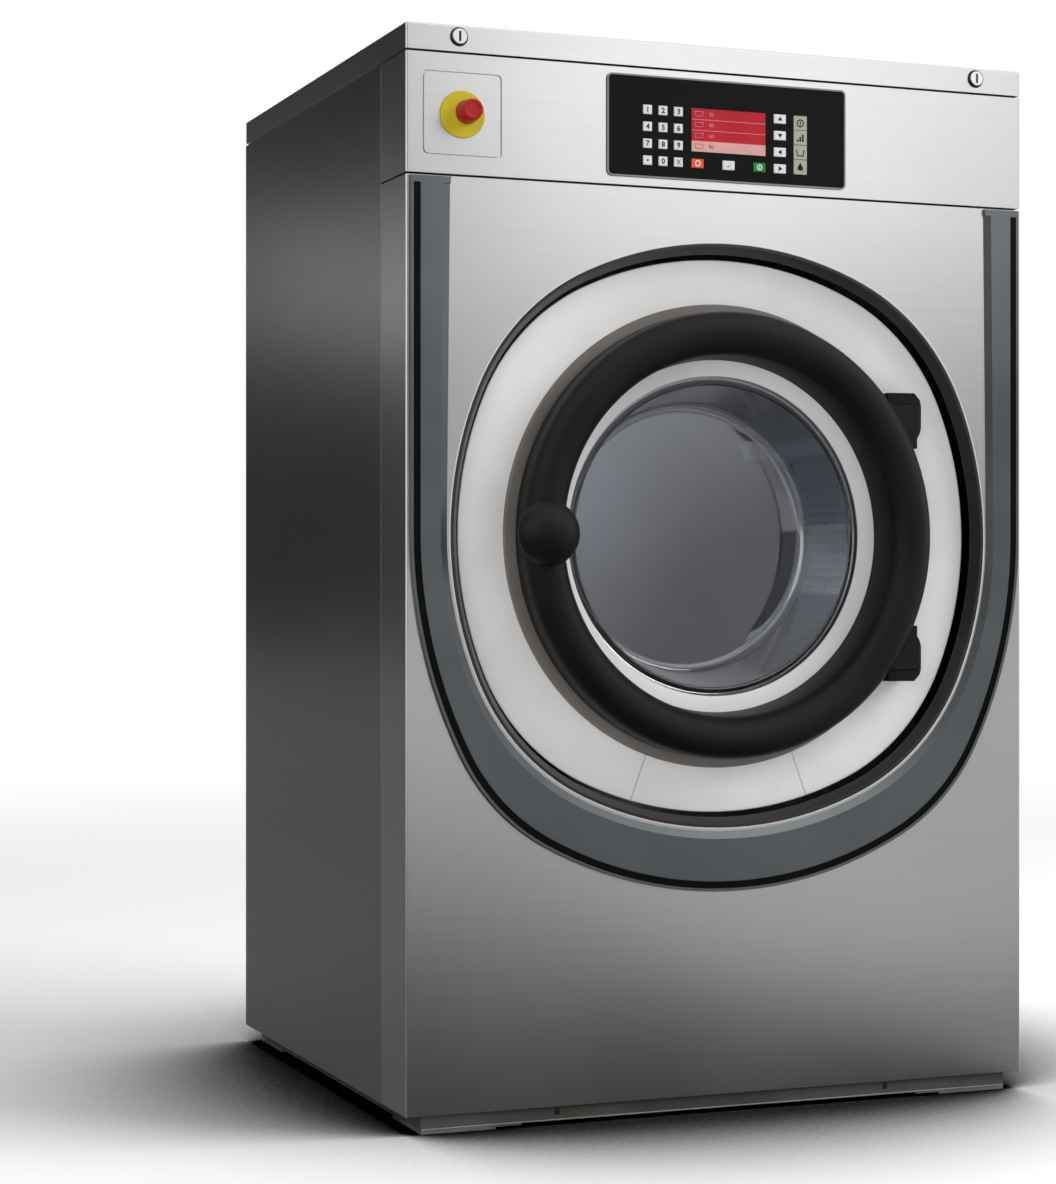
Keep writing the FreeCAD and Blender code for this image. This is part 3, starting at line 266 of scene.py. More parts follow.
acrossSheet = (2.5, 2.5, 760)        # scratches run level, round the cabinet
roundDrum = (5, 600, 5)        # scratches run round the depth axis
finishes = {
    "panel_steel": brushedMetal("panelSteel", (0.745, 0.745, 0.745, 1), (0.775, 0.775, 0.77, 1), acrossSheet,
                                (0.277, 0.3), 0.014, 0.0004),
    # the sides: the front's stainless painted darker, as painted shade on the sides
    "side_steel": brushedMetal("sideSteelPaintedShade", (0.52, 0.52, 0.525, 1), (0.56, 0.56, 0.56, 1), acrossSheet,
                               (0.277, 0.29), 0.02, 0.0004),
    "base_paint": moulded("basePaint", colour(74, 70, 66), colour(90, 86, 82), (0.4, 0.55), 500, 0.15),
    "zinc_plate": moulded("zincPlate", colour(190, 190, 188), colour(212, 212, 210), (0.3, 0.45), 150, 0.1,
                          0.5, 0.9),
    "lip_black": moulded("lipBlack", colour(38, 36, 35), colour(46, 44, 43), (0.3, 0.38), 900, 0.05, 0.4),
    "moulding_grey": moulded("mouldingGrey", colour(114, 119, 121), colour(122, 127, 129), (0.28, 0.31), 1200,
                             0.04, 0.5, 0.95),
    "lock_black": moulded("lockBlack", colour(22, 22, 23), colour(32, 32, 33), (0.35, 0.45), 900, 0.1),
    "lock_chrome": brushedMetal("lockChrome", (0.86, 0.86, 0.87, 1), (0.92, 0.92, 0.92, 1), (900, 5, 900),
                                (0.28, 0.32), 0.03, 0.0004),
    "stop_yellow": moulded("stopYellow", colour(182, 164, 22), colour(190, 173, 32), (0.4, 0.5), 900, 0.08,
                           0.3),
    "stop_red": moulded("stopRed", colour(150, 14, 20), colour(164, 22, 28), (0.3, 0.4), 900, 0.06, 0.35),
    "bezel_black": moulded("bezelBlack", colour(9, 11, 11), colour(14, 16, 16), (0.42, 0.5), 1400, 0.08,
                           0.12),
    "display_red": litScreen("displayRed", colour(152, 22, 34), colour(161, 27, 39), 0.18),
    "key_white": moulded("keyWhite", colour(200, 200, 196), colour(210, 210, 207), (0.4, 0.5), 1200, 0.06,
                         0.3),
    "key_orange": moulded("keyOrange", colour(206, 72, 30), colour(216, 80, 38), (0.4, 0.5), 1200, 0.06),
    "key_green": moulded("keyGreen", colour(10, 112, 42), colour(18, 122, 50), (0.4, 0.5), 1200, 0.06),
    "plate_pale": moulded("platePale", colour(216, 215, 213), colour(224, 223, 221), (0.42, 0.55), 700, 0.05,
                          0.5, 0.0, 0.003),
    "seat_grey": moulded("seatGrey", colour(106, 100, 97), colour(116, 110, 107), (0.4, 0.5), 700, 0.08),
    "gasket_rubber": moulded("gasketRubber", colour(40, 41, 43), colour(54, 55, 57), (0.55, 0.7), 600, 0.2,
                             0.3),
    "tub_steel": brushedMetal("tubSteel", (0.5, 0.5, 0.5, 1), (0.62, 0.62, 0.61, 1), roundDrum,
                              (0.32, 0.45)),
    # the drum wall: real steel, painted paler and more diffuse than it is, as painted light inside the drum
    # behind the glass
    "drum_steel": moulded("drumSteelPaintedLight", colour(222, 225, 234), colour(230, 233, 242), (0.34, 0.45), 700, 0.05,
                          0.5, 0.25),
    "cast_iron": moulded("castIron", colour(58, 60, 62), colour(76, 78, 80), (0.5, 0.65), 260, 0.35,
                         0.5, 0.4),
    "motor_alloy": moulded("motorAlloy", colour(120, 123, 126), colour(140, 143, 146), (0.4, 0.55), 320, 0.25,
                           0.5, 0.6),
    "belt_rubber": moulded("beltRubber", colour(26, 26, 27), colour(38, 38, 39), (0.6, 0.75), 700, 0.25, 0.3),
    "strut_steel": brushedMetal("strutSteel", (0.42, 0.42, 0.43, 1), (0.55, 0.55, 0.56, 1), (600, 600, 5)),
    "door_black": moulded("doorBlack", colour(14, 16, 15), colour(19, 21, 20), (0.42, 0.5), 1100, 0.12, 0.22),
    "trim_silver": moulded("trimSilver", colour(212, 211, 209), colour(220, 219, 217), (0.36, 0.46), 1200,
                           0.05, 0.5, 0.15),
    "door_glass": clearGlass("doorGlass", (0.75, 0.78, 0.84, 1), 0.02, 0.99),
    "fitting_grey": moulded("fittingGrey", colour(92, 94, 96), colour(108, 110, 112), (0.4, 0.5), 700, 0.12),
}
# the drum's ends: the drum's steel painted darker, as painted shade at the back of the drum
drumEndsPaintedShade = brushedMetal("drumEndsPaintedShade", (0.27, 0.27, 0.285, 1), (0.33, 0.33, 0.345, 1), roundDrum, (0.4, 0.5),
                        0.05)
inkDark = moulded("inkDark", colour(20, 20, 22), colour(28, 28, 30), (0.45, 0.55), 2000, 0.03, 0.2)
inkPale = moulded("inkPale", colour(226, 214, 212), colour(236, 226, 224), (0.45, 0.55), 2000, 0.03)
inkRed = moulded("inkRed", colour(150, 44, 50), colour(160, 54, 60), (0.45, 0.55), 2000, 0.03)
linePink = moulded("linePink", colour(206, 128, 132), colour(214, 138, 142), (0.45, 0.55), 2000, 0.03)
rowPink = litScreen("rowPink", colour(184, 138, 134), colour(192, 148, 144), 0.15)
stripGloss = moulded("stripGloss", colour(3, 3, 3), colour(6, 6, 6), (0.3, 0.36), 1500, 0.04, 0.12)
# the bezel's rim: the light on its chamfer painted as a grey highlight
rimPaintedHighlight = moulded("rimPaintedHighlight", colour(112, 113, 113), colour(124, 125, 125), (0.35, 0.45), 1200, 0.06)
legendSage = moulded("legendSage", colour(142, 143, 130), colour(156, 157, 144), (0.4, 0.5), 1500, 0.04)

slotOf = {row["node"]: row["material_slot"] for row in frame["record"]["subparts"]}
for nodeName, node in nodes.items():
    for holder in node.material_slots:
        holder.material = finishes[slotOf[nodeName]]
print("finishes made:", len(finishes))


# modelling helpers

modelling = {"merge": 0.00002, "roundSteps": 8, "blockSteps": 2, "cornerSteps": 6, "sharpFrom": 35}


def boxOf(node):
    low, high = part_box(node)
    return low, high, (low + high) / 2


def keepPiece(name, bm, body, finish, replaced=()):
    mesh = bpy.data.meshes.new(name)
    bm.to_mesh(mesh)
    bm.free()
    mesh.materials.append(finish)
    mesh.shade_smooth()
    mesh.set_sharp_from_angle(angle=math.radians(modelling["sharpFrom"]))
    piece = bpy.data.objects.new(name, mesh)
    bpy.context.scene.collection.objects.link(piece)
    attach(piece, body)
    if replaced:
        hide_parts(*replaced)


def closeMesh(bm):
    bmesh.ops.remove_doubles(bm, verts=bm.verts, dist=modelling["merge"])
    bmesh.ops.recalc_face_normals(bm, faces=bm.faces)


def bevelCorners(bm, points, rounding, steps):
    bmesh.ops.bevel(bm, geom=points, offset=rounding, offset_type="OFFSET", segments=steps, profile=0.5,
                    affect="VERTICES", material=-1)


def addTo(bm, part):
    mesh = bpy.data.meshes.new("part")
    part.to_mesh(mesh)
    part.free()
    bm.from_mesh(mesh)
    bpy.data.meshes.remove(mesh)


def drawLine(bm, corners, closed):
    # corners are (radius, y) or (radius, y, rounding) in the plane that is spun
    points = [bm.verts.new((c[0], c[1], 0)) for c in corners]
    for first, second in zip(points, points[1:]):
        bm.edges.new((first, second))
    if closed:
        bm.edges.new((points[-1], points[0]))
    for point, corner in zip(points, corners):
        if len(corner) > 2:
            bevelCorners(bm, [point], corner[2], modelling["roundSteps"])
    bmesh.ops.remove_doubles(bm, verts=bm.verts, dist=modelling["merge"])


def turn(bm, corners, centre, steps, closed=True):
    # a lathe: the drawn line goes once round the depth axis through centre
    part = bmesh.new()
    drawLine(part, corners, closed)
    bmesh.ops.spin(part, geom=part.verts[:] + part.edges[:], cent=(0, 0, 0), axis=(0, 1, 0), dvec=(0, 0, 0),
                   angle=2 * math.pi, steps=steps, use_merge=True)
    closeMesh(part)
    bmesh.ops.translate(part, verts=part.verts, vec=(centre.x, 0, centre.z))
    addTo(bm, part)


def block(bm, low, high, rounding=0.0):
    part = bmesh.new()
    bmesh.ops.create_cube(part, size=1.0)
    low, high = Vector(low), Vector(high)
    bmesh.ops.scale(part, verts=part.verts, vec=high - low)
    bmesh.ops.translate(part, verts=part.verts, vec=(low + high) / 2)
    if rounding:
        bmesh.ops.bevel(part, geom=part.edges[:], offset=rounding, offset_type="OFFSET",
                        segments=modelling["blockSteps"], profile=0.5, affect="EDGES", material=-1)
    addTo(bm, part)


def thicken(part, depth):
    grown = bmesh.ops.extrude_face_region(part, geom=part.faces[:])
    moved = [g for g in grown["geom"] if isinstance(g, bmesh.types.BMVert)]
    bmesh.ops.translate(part, verts=moved, vec=(0, depth, 0))
    bmesh.ops.recalc_face_normals(part, faces=part.faces)


def slab(bm, outline, front, thickness, rounding=0.0):
    # a flat shape in the plane of the front, outline given as (x, z) pairs
    part = bmesh.new()
    part.faces.new([part.verts.new((x, front, z)) for x, z in outline])
    if rounding:
        bevelCorners(part, part.verts[:], rounding, modelling["cornerSteps"])
    thicken(part, thickness)
    addTo(bm, part)


def addFrame(bm, outline, width, front, back, rounding=0.0):
    # a flat frame inside an outline of (x, z) pairs, or round it where the width is negative
    part = bmesh.new()
    part.faces.new([part.verts.new((x, front, z)) for x, z in outline])
    if rounding:
        bevelCorners(part, part.verts[:], rounding, modelling["roundSteps"])
    part.normal_update()        # the inset needs the face's normal
    middle = part.faces[:]
    bmesh.ops.inset_region(part, faces=middle, thickness=width, use_boundary=True, use_even_offset=True)
    bmesh.ops.delete(part, geom=middle, context="FACES")
    thicken(part, back - front)
    addTo(bm, part)


def rectangle(x0, z0, x1, z1):
    return [(x0, z0), (x1, z0), (x1, z1), (x0, z1)]


def shifted(points, x, z):
    return [(x + across, z + up) for across, up in points]


# door

doorSizes = {
    "tube": 0.0215, "fullRound": 0.999, "taper": 0.0055, "recessDepth": 0.015, "innerWall": 0.0115,
    "outerWall": 0.006, "skirtWall": 0.0025, "skirtLength": 0.0135, "skirtFoot": 0.0022,
    "skirtRound": (0.0005, 0.0008), "recessRound": 0.001, "backRound": 0.0015,
    "trimWall": 0.0025, "trimInner": 0.169, "trimRound": (0.0004, 0.001), "steps": 180,
}


def makeDoorRing():
    low, high, centre = boxOf("door_ring")
    tube = doorSizes["tube"]
    tubeRound = tube * doorSizes["fullRound"]        # just short of a full half circle
    outer = (high.x - low.x) / 2
    inner = outer - 2 * tube
    edge = inner - doorSizes["taper"]
    skirt = edge + doorSizes["skirtWall"]
    back = high.y - doorSizes["skirtLength"]
    pocket = back - doorSizes["recessDepth"]
    pocketIn, pocketOut = edge + doorSizes["innerWall"], outer - doorSizes["outerWall"]
    fine, soft = doorSizes["skirtRound"]
    bm = bmesh.new()
    turn(bm, [(outer, low.y, tubeRound), (inner, low.y, tubeRound), (edge, high.y, fine),
              (skirt, high.y, soft), (skirt + doorSizes["skirtFoot"], back),
              (pocketIn, back, doorSizes["recessRound"]), (pocketIn, pocket), (pocketOut, pocket),
              (pocketOut, back, doorSizes["recessRound"]), (outer, back, doorSizes["backRound"])],
         centre, doorSizes["steps"])
    keepPiece("doorRing", bm, "door", finishes["door_black"], ["door_ring"])


def makeDoorTrim():
    low, high, centre = boxOf("door_trim_ring")
    edge = (high.x - low.x) / 2
    wall, inner = doorSizes["trimWall"], doorSizes["trimInner"]
    fine, soft = doorSizes["trimRound"]
    bm = bmesh.new()
    turn(bm, [(edge, low.y, fine), (edge - fine, low.y + wall, fine), (inner, high.y, soft),
              (inner, high.y - wall, soft)], centre, doorSizes["steps"])
    keepPiece("doorTrim", bm, "door", finishes["trim_silver"], ["door_trim_ring"])


glassSizes = {"bowlTop": 0.166, "bowlFloor": 0.15, "wall": 0.006, "bend": 0.013, "flatEdge": 0.002,
              "rimRound": 0.001, "neckRound": 0.002}


def makeDoorGlass():
    low, high, centre = boxOf("door_glass")
    rim = (high.x - low.x) / 2
    wall, top, floor = glassSizes["wall"], glassSizes["bowlTop"], glassSizes["bowlFloor"]
    bend, rimRound, neckRound = glassSizes["bend"], glassSizes["rimRound"], glassSizes["neckRound"]
    flat = floor - bend - glassSizes["flatEdge"]        # keeps the shading of the floor flat up to the bend
    bm = bmesh.new()
    turn(bm, [(rim, low.y, rimRound), (rim, low.y + wall, rimRound), (top, low.y + wall, neckRound),
              (floor, high.y, bend), (flat, high.y), (0, high.y), (0, high.y - wall), (flat, high.y - wall),
              (floor - wall, high.y - wall, bend - wall), (top - wall, low.y, neckRound)],
         centre, doorSizes["steps"])
    keepPiece("doorGlass", bm, "door", finishes["door_glass"], ["door_glass"])


knobSizes = {
    "radius": 0.0335, "dome": 0.028, "domeSteps": 16, "shoulder": 0.005, "shoulderIn": 0.004, "round": 0.002,
    "collar": 0.016, "neck": 0.012, "neckLength": 0.0004, "spindle": 0.006, "steps": 72,
    "latchThickness": 0.008, "latchWidth": 0.009, "latchLength": 0.03, "latchRound": 0.001,
}


def makeDoorKnob():
    low, high, centre = boxOf("door_knob")
    radius, dome, rounding, steps = (knobSizes[size] for size in ("radius", "dome", "round", "domeSteps"))
    sphere = (radius ** 2 + dome ** 2) / (2 * dome)
    widest = low.y + dome
    back = widest + knobSizes["shoulder"]
    neck = back + knobSizes["neckLength"]
    latchFront = high.y - knobSizes["latchThickness"]
    reach = math.atan2(radius, sphere - dome)
    crown = [(sphere * math.sin(reach * i / steps), low.y + sphere - sphere * math.cos(reach * i / steps))
             for i in range(steps)]
    bm = bmesh.new()
    turn(bm, crown + [(radius, widest, rounding), (radius - knobSizes["shoulderIn"], back, rounding),
                      (knobSizes["collar"], back, rounding), (knobSizes["neck"], neck),
                      (knobSizes["spindle"], neck), (knobSizes["spindle"], latchFront), (0, latchFront)],
         centre, knobSizes["steps"], closed=False)
    half, end = knobSizes["latchWidth"] / 2, knobSizes["latchLength"] / 2
    block(bm, (centre.x - half, latchFront, centre.z - end), (centre.x + half, high.y, centre.z + end),
          knobSizes["latchRound"])
    keepPiece("doorKnob", bm, "knob", finishes["door_black"], ["door_knob"])


makeDoorRing()
makeDoorTrim()
makeDoorGlass()
makeDoorKnob()
print("door dressed")


# drum

drumSizes = {
    "wall": 0.0015, "columns": 150, "hole": 0.002, "holeCorner": 0.58, "frontBand": 0.014, "backBand": 0.02,
    "mouth": 0.182, "lip": 0.004, "lipLength": 0.012, "lipRound": 0.001, "lipBack": (0.002, 0.0005),
    "bend": 0.008, "innerBend": 0.007, "steps": 144,
}


def makeDrum():
    low, high, centre = boxOf("drum_shell")
    radius = (high.x - low.x) / 2
    near, far = low.y + drumSizes["frontBand"], high.y - drumSizes["backBand"]
    girth = 2 * math.pi * radius
    columns, hole = drumSizes["columns"], drumSizes["hole"]
    rows = round((far - near) * columns / girth)
    bm = bmesh.new()
    bmesh.ops.create_grid(bm, x_segments=columns, y_segments=rows, size=0.5)
    bmesh.ops.scale(bm, verts=bm.verts, vec=(girth, far - near, 1))
    bmesh.ops.inset_individual(bm, faces=bm.faces[:], thickness=(girth / columns - 2 * hole) / 2,
                               use_even_offset=True)
    cells = sorted(bm.faces, key=lambda f: f.calc_area())[:columns * rows]
    corners = {v for f in cells for v in f.verts}
    bevelCorners(bm, list(corners), hole * drumSizes["holeCorner"], 1)        # square cells become octagons
    holes = [f for f in bm.faces if len(f.verts) == 8 and f.calc_area() < 4 * hole ** 2]
    bmesh.ops.delete(bm, geom=holes, context="FACES")
    for v in bm.verts:        # the flat sheet is rolled into the wall
        angle = v.co.x / radius
        v.co = Vector((centre.x + radius * math.sin(angle), (near + far) / 2 + v.co.y,
                       centre.z + radius * math.cos(angle)))
    closeMesh(bm)
    keepPiece("drumWall", bm, "drum", finishes["drum_steel"], ["drum_shell"])
    wall, mouth, lip = drumSizes["wall"], drumSizes["mouth"], drumSizes["lip"]
    bend, innerBend, lipBack = drumSizes["bend"], drumSizes["innerBend"], drumSizes["lipBack"]
    lipEnd = low.y + drumSizes["lipLength"]
    bm = bmesh.new()
    turn(bm, [(mouth, lipEnd, drumSizes["lipRound"]), (mouth, low.y, lip), (radius, low.y, bend),
              (radius, near), (radius - wall, near), (radius - wall, low.y + wall, innerBend),
              (mouth + wall, low.y + wall, lipBack[0]), (mouth + wall, lipEnd, lipBack[1])],
         centre, drumSizes["steps"])
    turn(bm, [(radius, far), (radius, high.y, bend), (0, high.y), (0, high.y - wall),
              (radius - wall, high.y - wall, innerBend), (radius - wall, far)], centre, drumSizes["steps"])
    keepPiece("drumEnds", bm, "drum", drumEndsPaintedShade, ["drum_shell"])


makeDrum()
print("drum dressed")


# emergency stop

stopSizes = {
    "face": 0.0105, "length": 0.022, "dish": 0.0012, "dishFloor": 0.66, "dishRim": 0.78, "dishRound": 0.0008,
    "faceRound": 0.0022, "rim": 0.0015, "rimRound": 0.0012, "back": 0.002, "stem": 0.006, "steps": 64,
    "disc": 0.002, "discRound": 0.0012, "foot": 0.0125, "footRound": 0.0006, "neck": 0.0105,
    "neckDrop": 0.001, "mouth": 0.009, "bore": 0.0061, "collarSteps": 96,
}


def makeStop():
    low, high, centre = boxOf("stop_button")
    radius = (high.x - low.x) / 2
    face, dish, stem = stopSizes["face"], low.y + stopSizes["dish"], stopSizes["stem"]
    fine = stopSizes["dishRound"]
    back = low.y + stopSizes["length"]
    bm = bmesh.new()
    turn(bm, [(0, dish), (face * stopSizes["dishFloor"], dish, fine),
              (face * stopSizes["dishRim"], low.y, fine), (face, low.y, stopSizes["faceRound"]),
              (radius, back - stopSizes["rim"], stopSizes["rimRound"]),
              (radius - stopSizes["back"], back, fine), (stem, back), (stem, high.y), (0, high.y)],
         centre, stopSizes["steps"], closed=False)
    keepPiece("stopButton", bm, "emergency_stop", finishes["stop_red"], ["stop_button"])
    low, high, centre = boxOf("stop_collar")
    radius = (high.x - low.x) / 2
    disc, bore = high.y - stopSizes["disc"], stopSizes["bore"]
    bm = bmesh.new()
    turn(bm, [(radius, high.y), (radius, disc, stopSizes["discRound"]),
              (stopSizes["foot"], disc, stopSizes["footRound"]),
              (stopSizes["neck"], low.y + stopSizes["neckDrop"], fine),
              (stopSizes["mouth"], low.y, stopSizes["footRound"]), (bore, low.y), (bore, high.y)],
         centre, stopSizes["collarSteps"])
    keepPiece("stopCollar", bm, "cabinet", finishes["stop_yellow"], ["stop_collar"])


makeStop()
print("emergency stop dressed")


# the keyholes of the two lid locks: a black sheet deep in each slot, painted shade in the keyhole

keyholeShade = {"width": 0.0024, "length": 0.01, "sunk": 0.0012, "depth": 0.0002}


def makeKeyholeShades():
    half, end = keyholeShade["width"] / 2, keyholeShade["length"] / 2
    for side in ("left", "right"):
        low, _, centre = boxOf(side + "_lock_barrel")
        bm = bmesh.new()
        slab(bm, rectangle(centre.x - half, centre.z - end, centre.x + half, centre.z + end),
             low.y + keyholeShade["sunk"], keyholeShade["depth"])
        keepPiece("keyhole." + side, bm, side + "_lock", finishes["lock_black"])


makeKeyholeShades()
print("locks dressed")


# dark sheets in the plinth's slots, painted shade in the holes, and the bright foot lip of the plinth

plinth = {
    "slotX": 0.19, "slotWidth": 0.0055, "slotHeight": 0.007, "slotDrop": 0.0064, "slotSunk": 0.0006,
    "slotDepth": 0.0004, "lip": 0.0016, "lipDepth": 0.001, "lipRound": 0.0004,
}


def makePlinth():
    low, high = boxOf("front_plinth")[:2]
    middle = boxOf("front_panel")[0].z - plinth["slotDrop"]
    half, end = plinth["slotWidth"] / 2, plinth["slotHeight"] / 2
    bm = bmesh.new()
    for x in (-plinth["slotX"], plinth["slotX"]):
        slab(bm, rectangle(x - half, middle - end, x + half, middle + end), low.y + plinth["slotSunk"],
             plinth["slotDepth"])
    keepPiece("plinthSlotShade", bm, "cabinet", finishes["lip_black"])
    bm = bmesh.new()
    block(bm, (low.x, low.y - plinth["lipDepth"], low.z), (high.x, low.y, low.z + plinth["lip"]),
          plinth["lipRound"])
    keepPiece("plinthLip", bm, "cabinet", finishes["zinc_plate"])


makePlinth()
print("plinth dressed")


# moulding strip: the floor of the groove, lifted to fill it

mouldingStrip = {"groove": 0.001, "fill": 0.0009, "merge": 0.00001, "flatness": 0.00005}


def makeMouldingStrip():
    bm = bmesh.new()
    bm.from_mesh(nodes["u_moulding"].data)
    bmesh.ops.remove_doubles(bm, verts=bm.verts, dist=mouldingStrip["merge"])
    floor = boxOf("u_moulding")[0].y + mouldingStrip["groove"]
    away = [f for f in bm.faces if max(abs(v.co.y - floor) for v in f.verts) > mouldingStrip["flatness"]]
    bmesh.ops.delete(bm, geom=away, context="FACES")
    thicken(bm, -mouldingStrip["fill"])
    keepPiece("mouldingStrip", bm, "cabinet", stripGloss)


openingBeadHighlight = {"width": 0.0026, "proud": 0.0005, "clearOfEdge": 0.02, "flatness": 0.00002, "angleDigits": 5}


def makeOpeningBeadHighlight():
    # the rolled edge of the sheet follows the rim of the opening in the front panel; the edge is real, its
    # pale finish is a painted highlight on it
    low, high, centre = boxOf("front_panel")
    rim = {}
    for v in nodes["front_panel"].data.vertices:
        x, y, z = v.co
        fromEdge = min(x - low.x, high.x - x, z - low.z, high.z - z)
        if fromEdge > openingBeadHighlight["clearOfEdge"] and abs(y - low.y) < openingBeadHighlight["flatness"]:
            rim[round(math.atan2(z - centre.z, x), openingBeadHighlight["angleDigits"])] = (x, z)
    bm = bmesh.new()
    addFrame(bm, [rim[angle] for angle in sorted(rim)], -openingBeadHighlight["width"], low.y - openingBeadHighlight["proud"],
             low.y)
    keepPiece("openingBeadHighlight", bm, "cabinet", finishes["trim_silver"])


makeMouldingStrip()
makeOpeningBeadHighlight()
print("moulding strip and opening bead laid")


# back: screws round the panel, black sheets just behind the vents and threads on the water inlets

rearScrews = {
    "radius": 0.0046, "proud": 0.0018, "inset": 0.012, "across": 4, "up": 6, "flat": 0.6, "shoulder": 0.4,
    "steps": 20, "cross": 0.0042, "stroke": 0.0009, "markLayer": (0.00005, 0.00006),
}
inletThread = {"mounts": ("hot_inlet", "cold_inlet"), "crest": 0.0009, "pitch": 0.0026, "turns": 5,
               "gap": 0.0012, "steps": 40}
# foot and top are heights above the foot of the rear panel
ventBackSheets = {"x": 0.15, "halfWidth": 0.043, "foot": 0.0925, "top": 0.2225, "gap": 0.0004,
               "thickness": 0.0008}


def makeRearScrews():
    low, high = boxOf("rear_panel")[:2]
    inset, radius, across, up = (rearScrews[size] for size in ("inset", "radius", "across", "up"))
    x0, x1, z0, z1 = low.x + inset, high.x - inset, low.z + inset, high.z - inset
    places = [(x0 + (x1 - x0) * i / (across - 1), z) for i in range(across) for z in (z0, z1)]
    places += [(x, z0 + (z1 - z0) * i / (up - 1)) for i in range(1, up - 1) for x in (x0, x1)]
    reach, half = rearScrews["cross"] / 2, rearScrews["stroke"] / 2
    top = high.y + rearScrews["proud"]
    shoulder = high.y + rearScrews["proud"] * rearScrews["shoulder"]
    heads = bmesh.new()
    crosses = bmesh.new()
    for x, z in places:
        turn(heads, [(0, top), (radius * rearScrews["flat"], top), (radius, shoulder), (radius, high.y)],
             Vector((x, 0, z)), rearScrews["steps"], closed=False)
        # the black crosses on the heads are painted shade in the screws' cross recesses
        slab(crosses, rectangle(x - reach, z - half, x + reach, z + half), top, rearScrews["markLayer"][0])
        slab(crosses, rectangle(x - half, z - reach, x + half, z + reach), top, rearScrews["markLayer"][1])
    keepPiece("rearScrews", heads, "cabinet", finishes["zinc_plate"])
    keepPiece("screwCrossShade", crosses, "cabinet", finishes["lock_black"])


def makeVentBackSheets():
    low = boxOf("rear_panel")[0]
    half = ventBackSheets["halfWidth"]
    foot, top = low.z + ventBackSheets["foot"], low.z + ventBackSheets["top"]
    bm = bmesh.new()
    for x in (-ventBackSheets["x"], ventBackSheets["x"]):
        slab(bm, rectangle(x - half, foot, x + half, top), low.y - ventBackSheets["gap"],
             -ventBackSheets["thickness"])
    keepPiece("ventBackSheets", bm, "cabinet", finishes["lock_black"])


def makeInletThreads():
    mounts = {mount["name"]: mount for mount in frame["record"]["mounts"]}
    end = boxOf("rear_connections")[1].y - inletThread["gap"]
    crest = inletThread["crest"]
    bm = bmesh.new()
    for name in inletThread["mounts"]:
        radius = mounts[name]["dims"]["r_mm"] / 1000
        centre = Vector(mounts[name]["pos_m"])
        for i in range(inletThread["turns"]):
            back = end - i * inletThread["pitch"]
            turn(bm, [(radius, back), (radius + crest, back - crest), (radius, back - 2 * crest)], centre,
                 inletThread["steps"])
    keepPiece("inletThreads", bm, "cabinet", finishes["fitting_grey"])


makeRearScrews()
makeVentBackSheets()
makeInletThreads()
print("back dressed")


# control face

# a grey frame over the bezel's chamfered edge: the chamfer is real, its grey is a painted highlight
bezelRimHighlight = {"width": 0.0018, "corner": 0.0058, "proud": 0.0004, "sunk": 0.0012}


def makeBezelRimHighlight():
    low, high = boxOf("control_bezel")[:2]
    bm = bmesh.new()
    addFrame(bm, rectangle(low.x, low.z, high.x, high.z), bezelRimHighlight["width"], low.y - bezelRimHighlight["proud"],
             low.y + bezelRimHighlight["sunk"], bezelRimHighlight["corner"])
    keepPiece("bezelRimHighlight", bm, "cabinet", rimPaintedHighlight)


inkDepth = 0.00012
inkCurveSteps = 3


def textMesh(words, size, bold):
    curve = bpy.data.curves.new("legend", "FONT")
    curve.body = words
    curve.size = size
    curve.offset = bold
    curve.align_x = "CENTER"
    curve.align_y = "CENTER"
    curve.extrude = inkDepth / 2
    curve.resolution_u = inkCurveSteps
    holder = bpy.data.objects.new("legend", curve)
    bpy.context.scene.collection.objects.link(holder)
    bpy.context.view_layer.update()
    mesh = bpy.data.meshes.new_from_object(holder.evaluated_get(bpy.context.evaluated_depsgraph_get()))
    bpy.data.objects.remove(holder)
    bpy.data.curves.remove(curve)
    return mesh


def addText(bm, words, size, x, front, z, bold=0.0):
    mesh = textMesh(words, size, bold)
    low = [min(v.co[i] for v in mesh.vertices) for i in (0, 1)]
    high = [max(v.co[i] for v in mesh.vertices) for i in (0, 1)]
    mesh.transform(Matrix.Translation((-(low[0] + high[0]) / 2, -(low[1] + high[1]) / 2, 0)))
    mesh.transform(Matrix.Translation((x, front, z)) @ Matrix.Rotation(math.pi / 2, 4, "X"))
    bm.from_mesh(mesh)
    bpy.data.meshes.remove(mesh)


keyInk = {
    "digit": 0.0076, "bold": 0.0002, "mark": 0.0054, "stroke": 0.001, "ring": 0.6, "bar": 0.3,
    "ringSteps": 28, "arrows": {"up": 0, "down": 180, "left": 90, "right": 270},
    # outlines in shares of the mark's size
    "arrow": ((-0.5, -1 / 3), (0.5, -1 / 3), (0, 0.5)),
    "tick": ((-0.55, 0), (-0.15, -0.5), (0.55, 0.5), (-0.15, -0.28)),
}


def addRing(bm, x, front, z, radius, stroke):
    turn(bm, [(radius, front), (radius - stroke, front), (radius - stroke, front + inkDepth),
              (radius, front + inkDepth)], Vector((x, 0, z)), keyInk["ringSteps"])


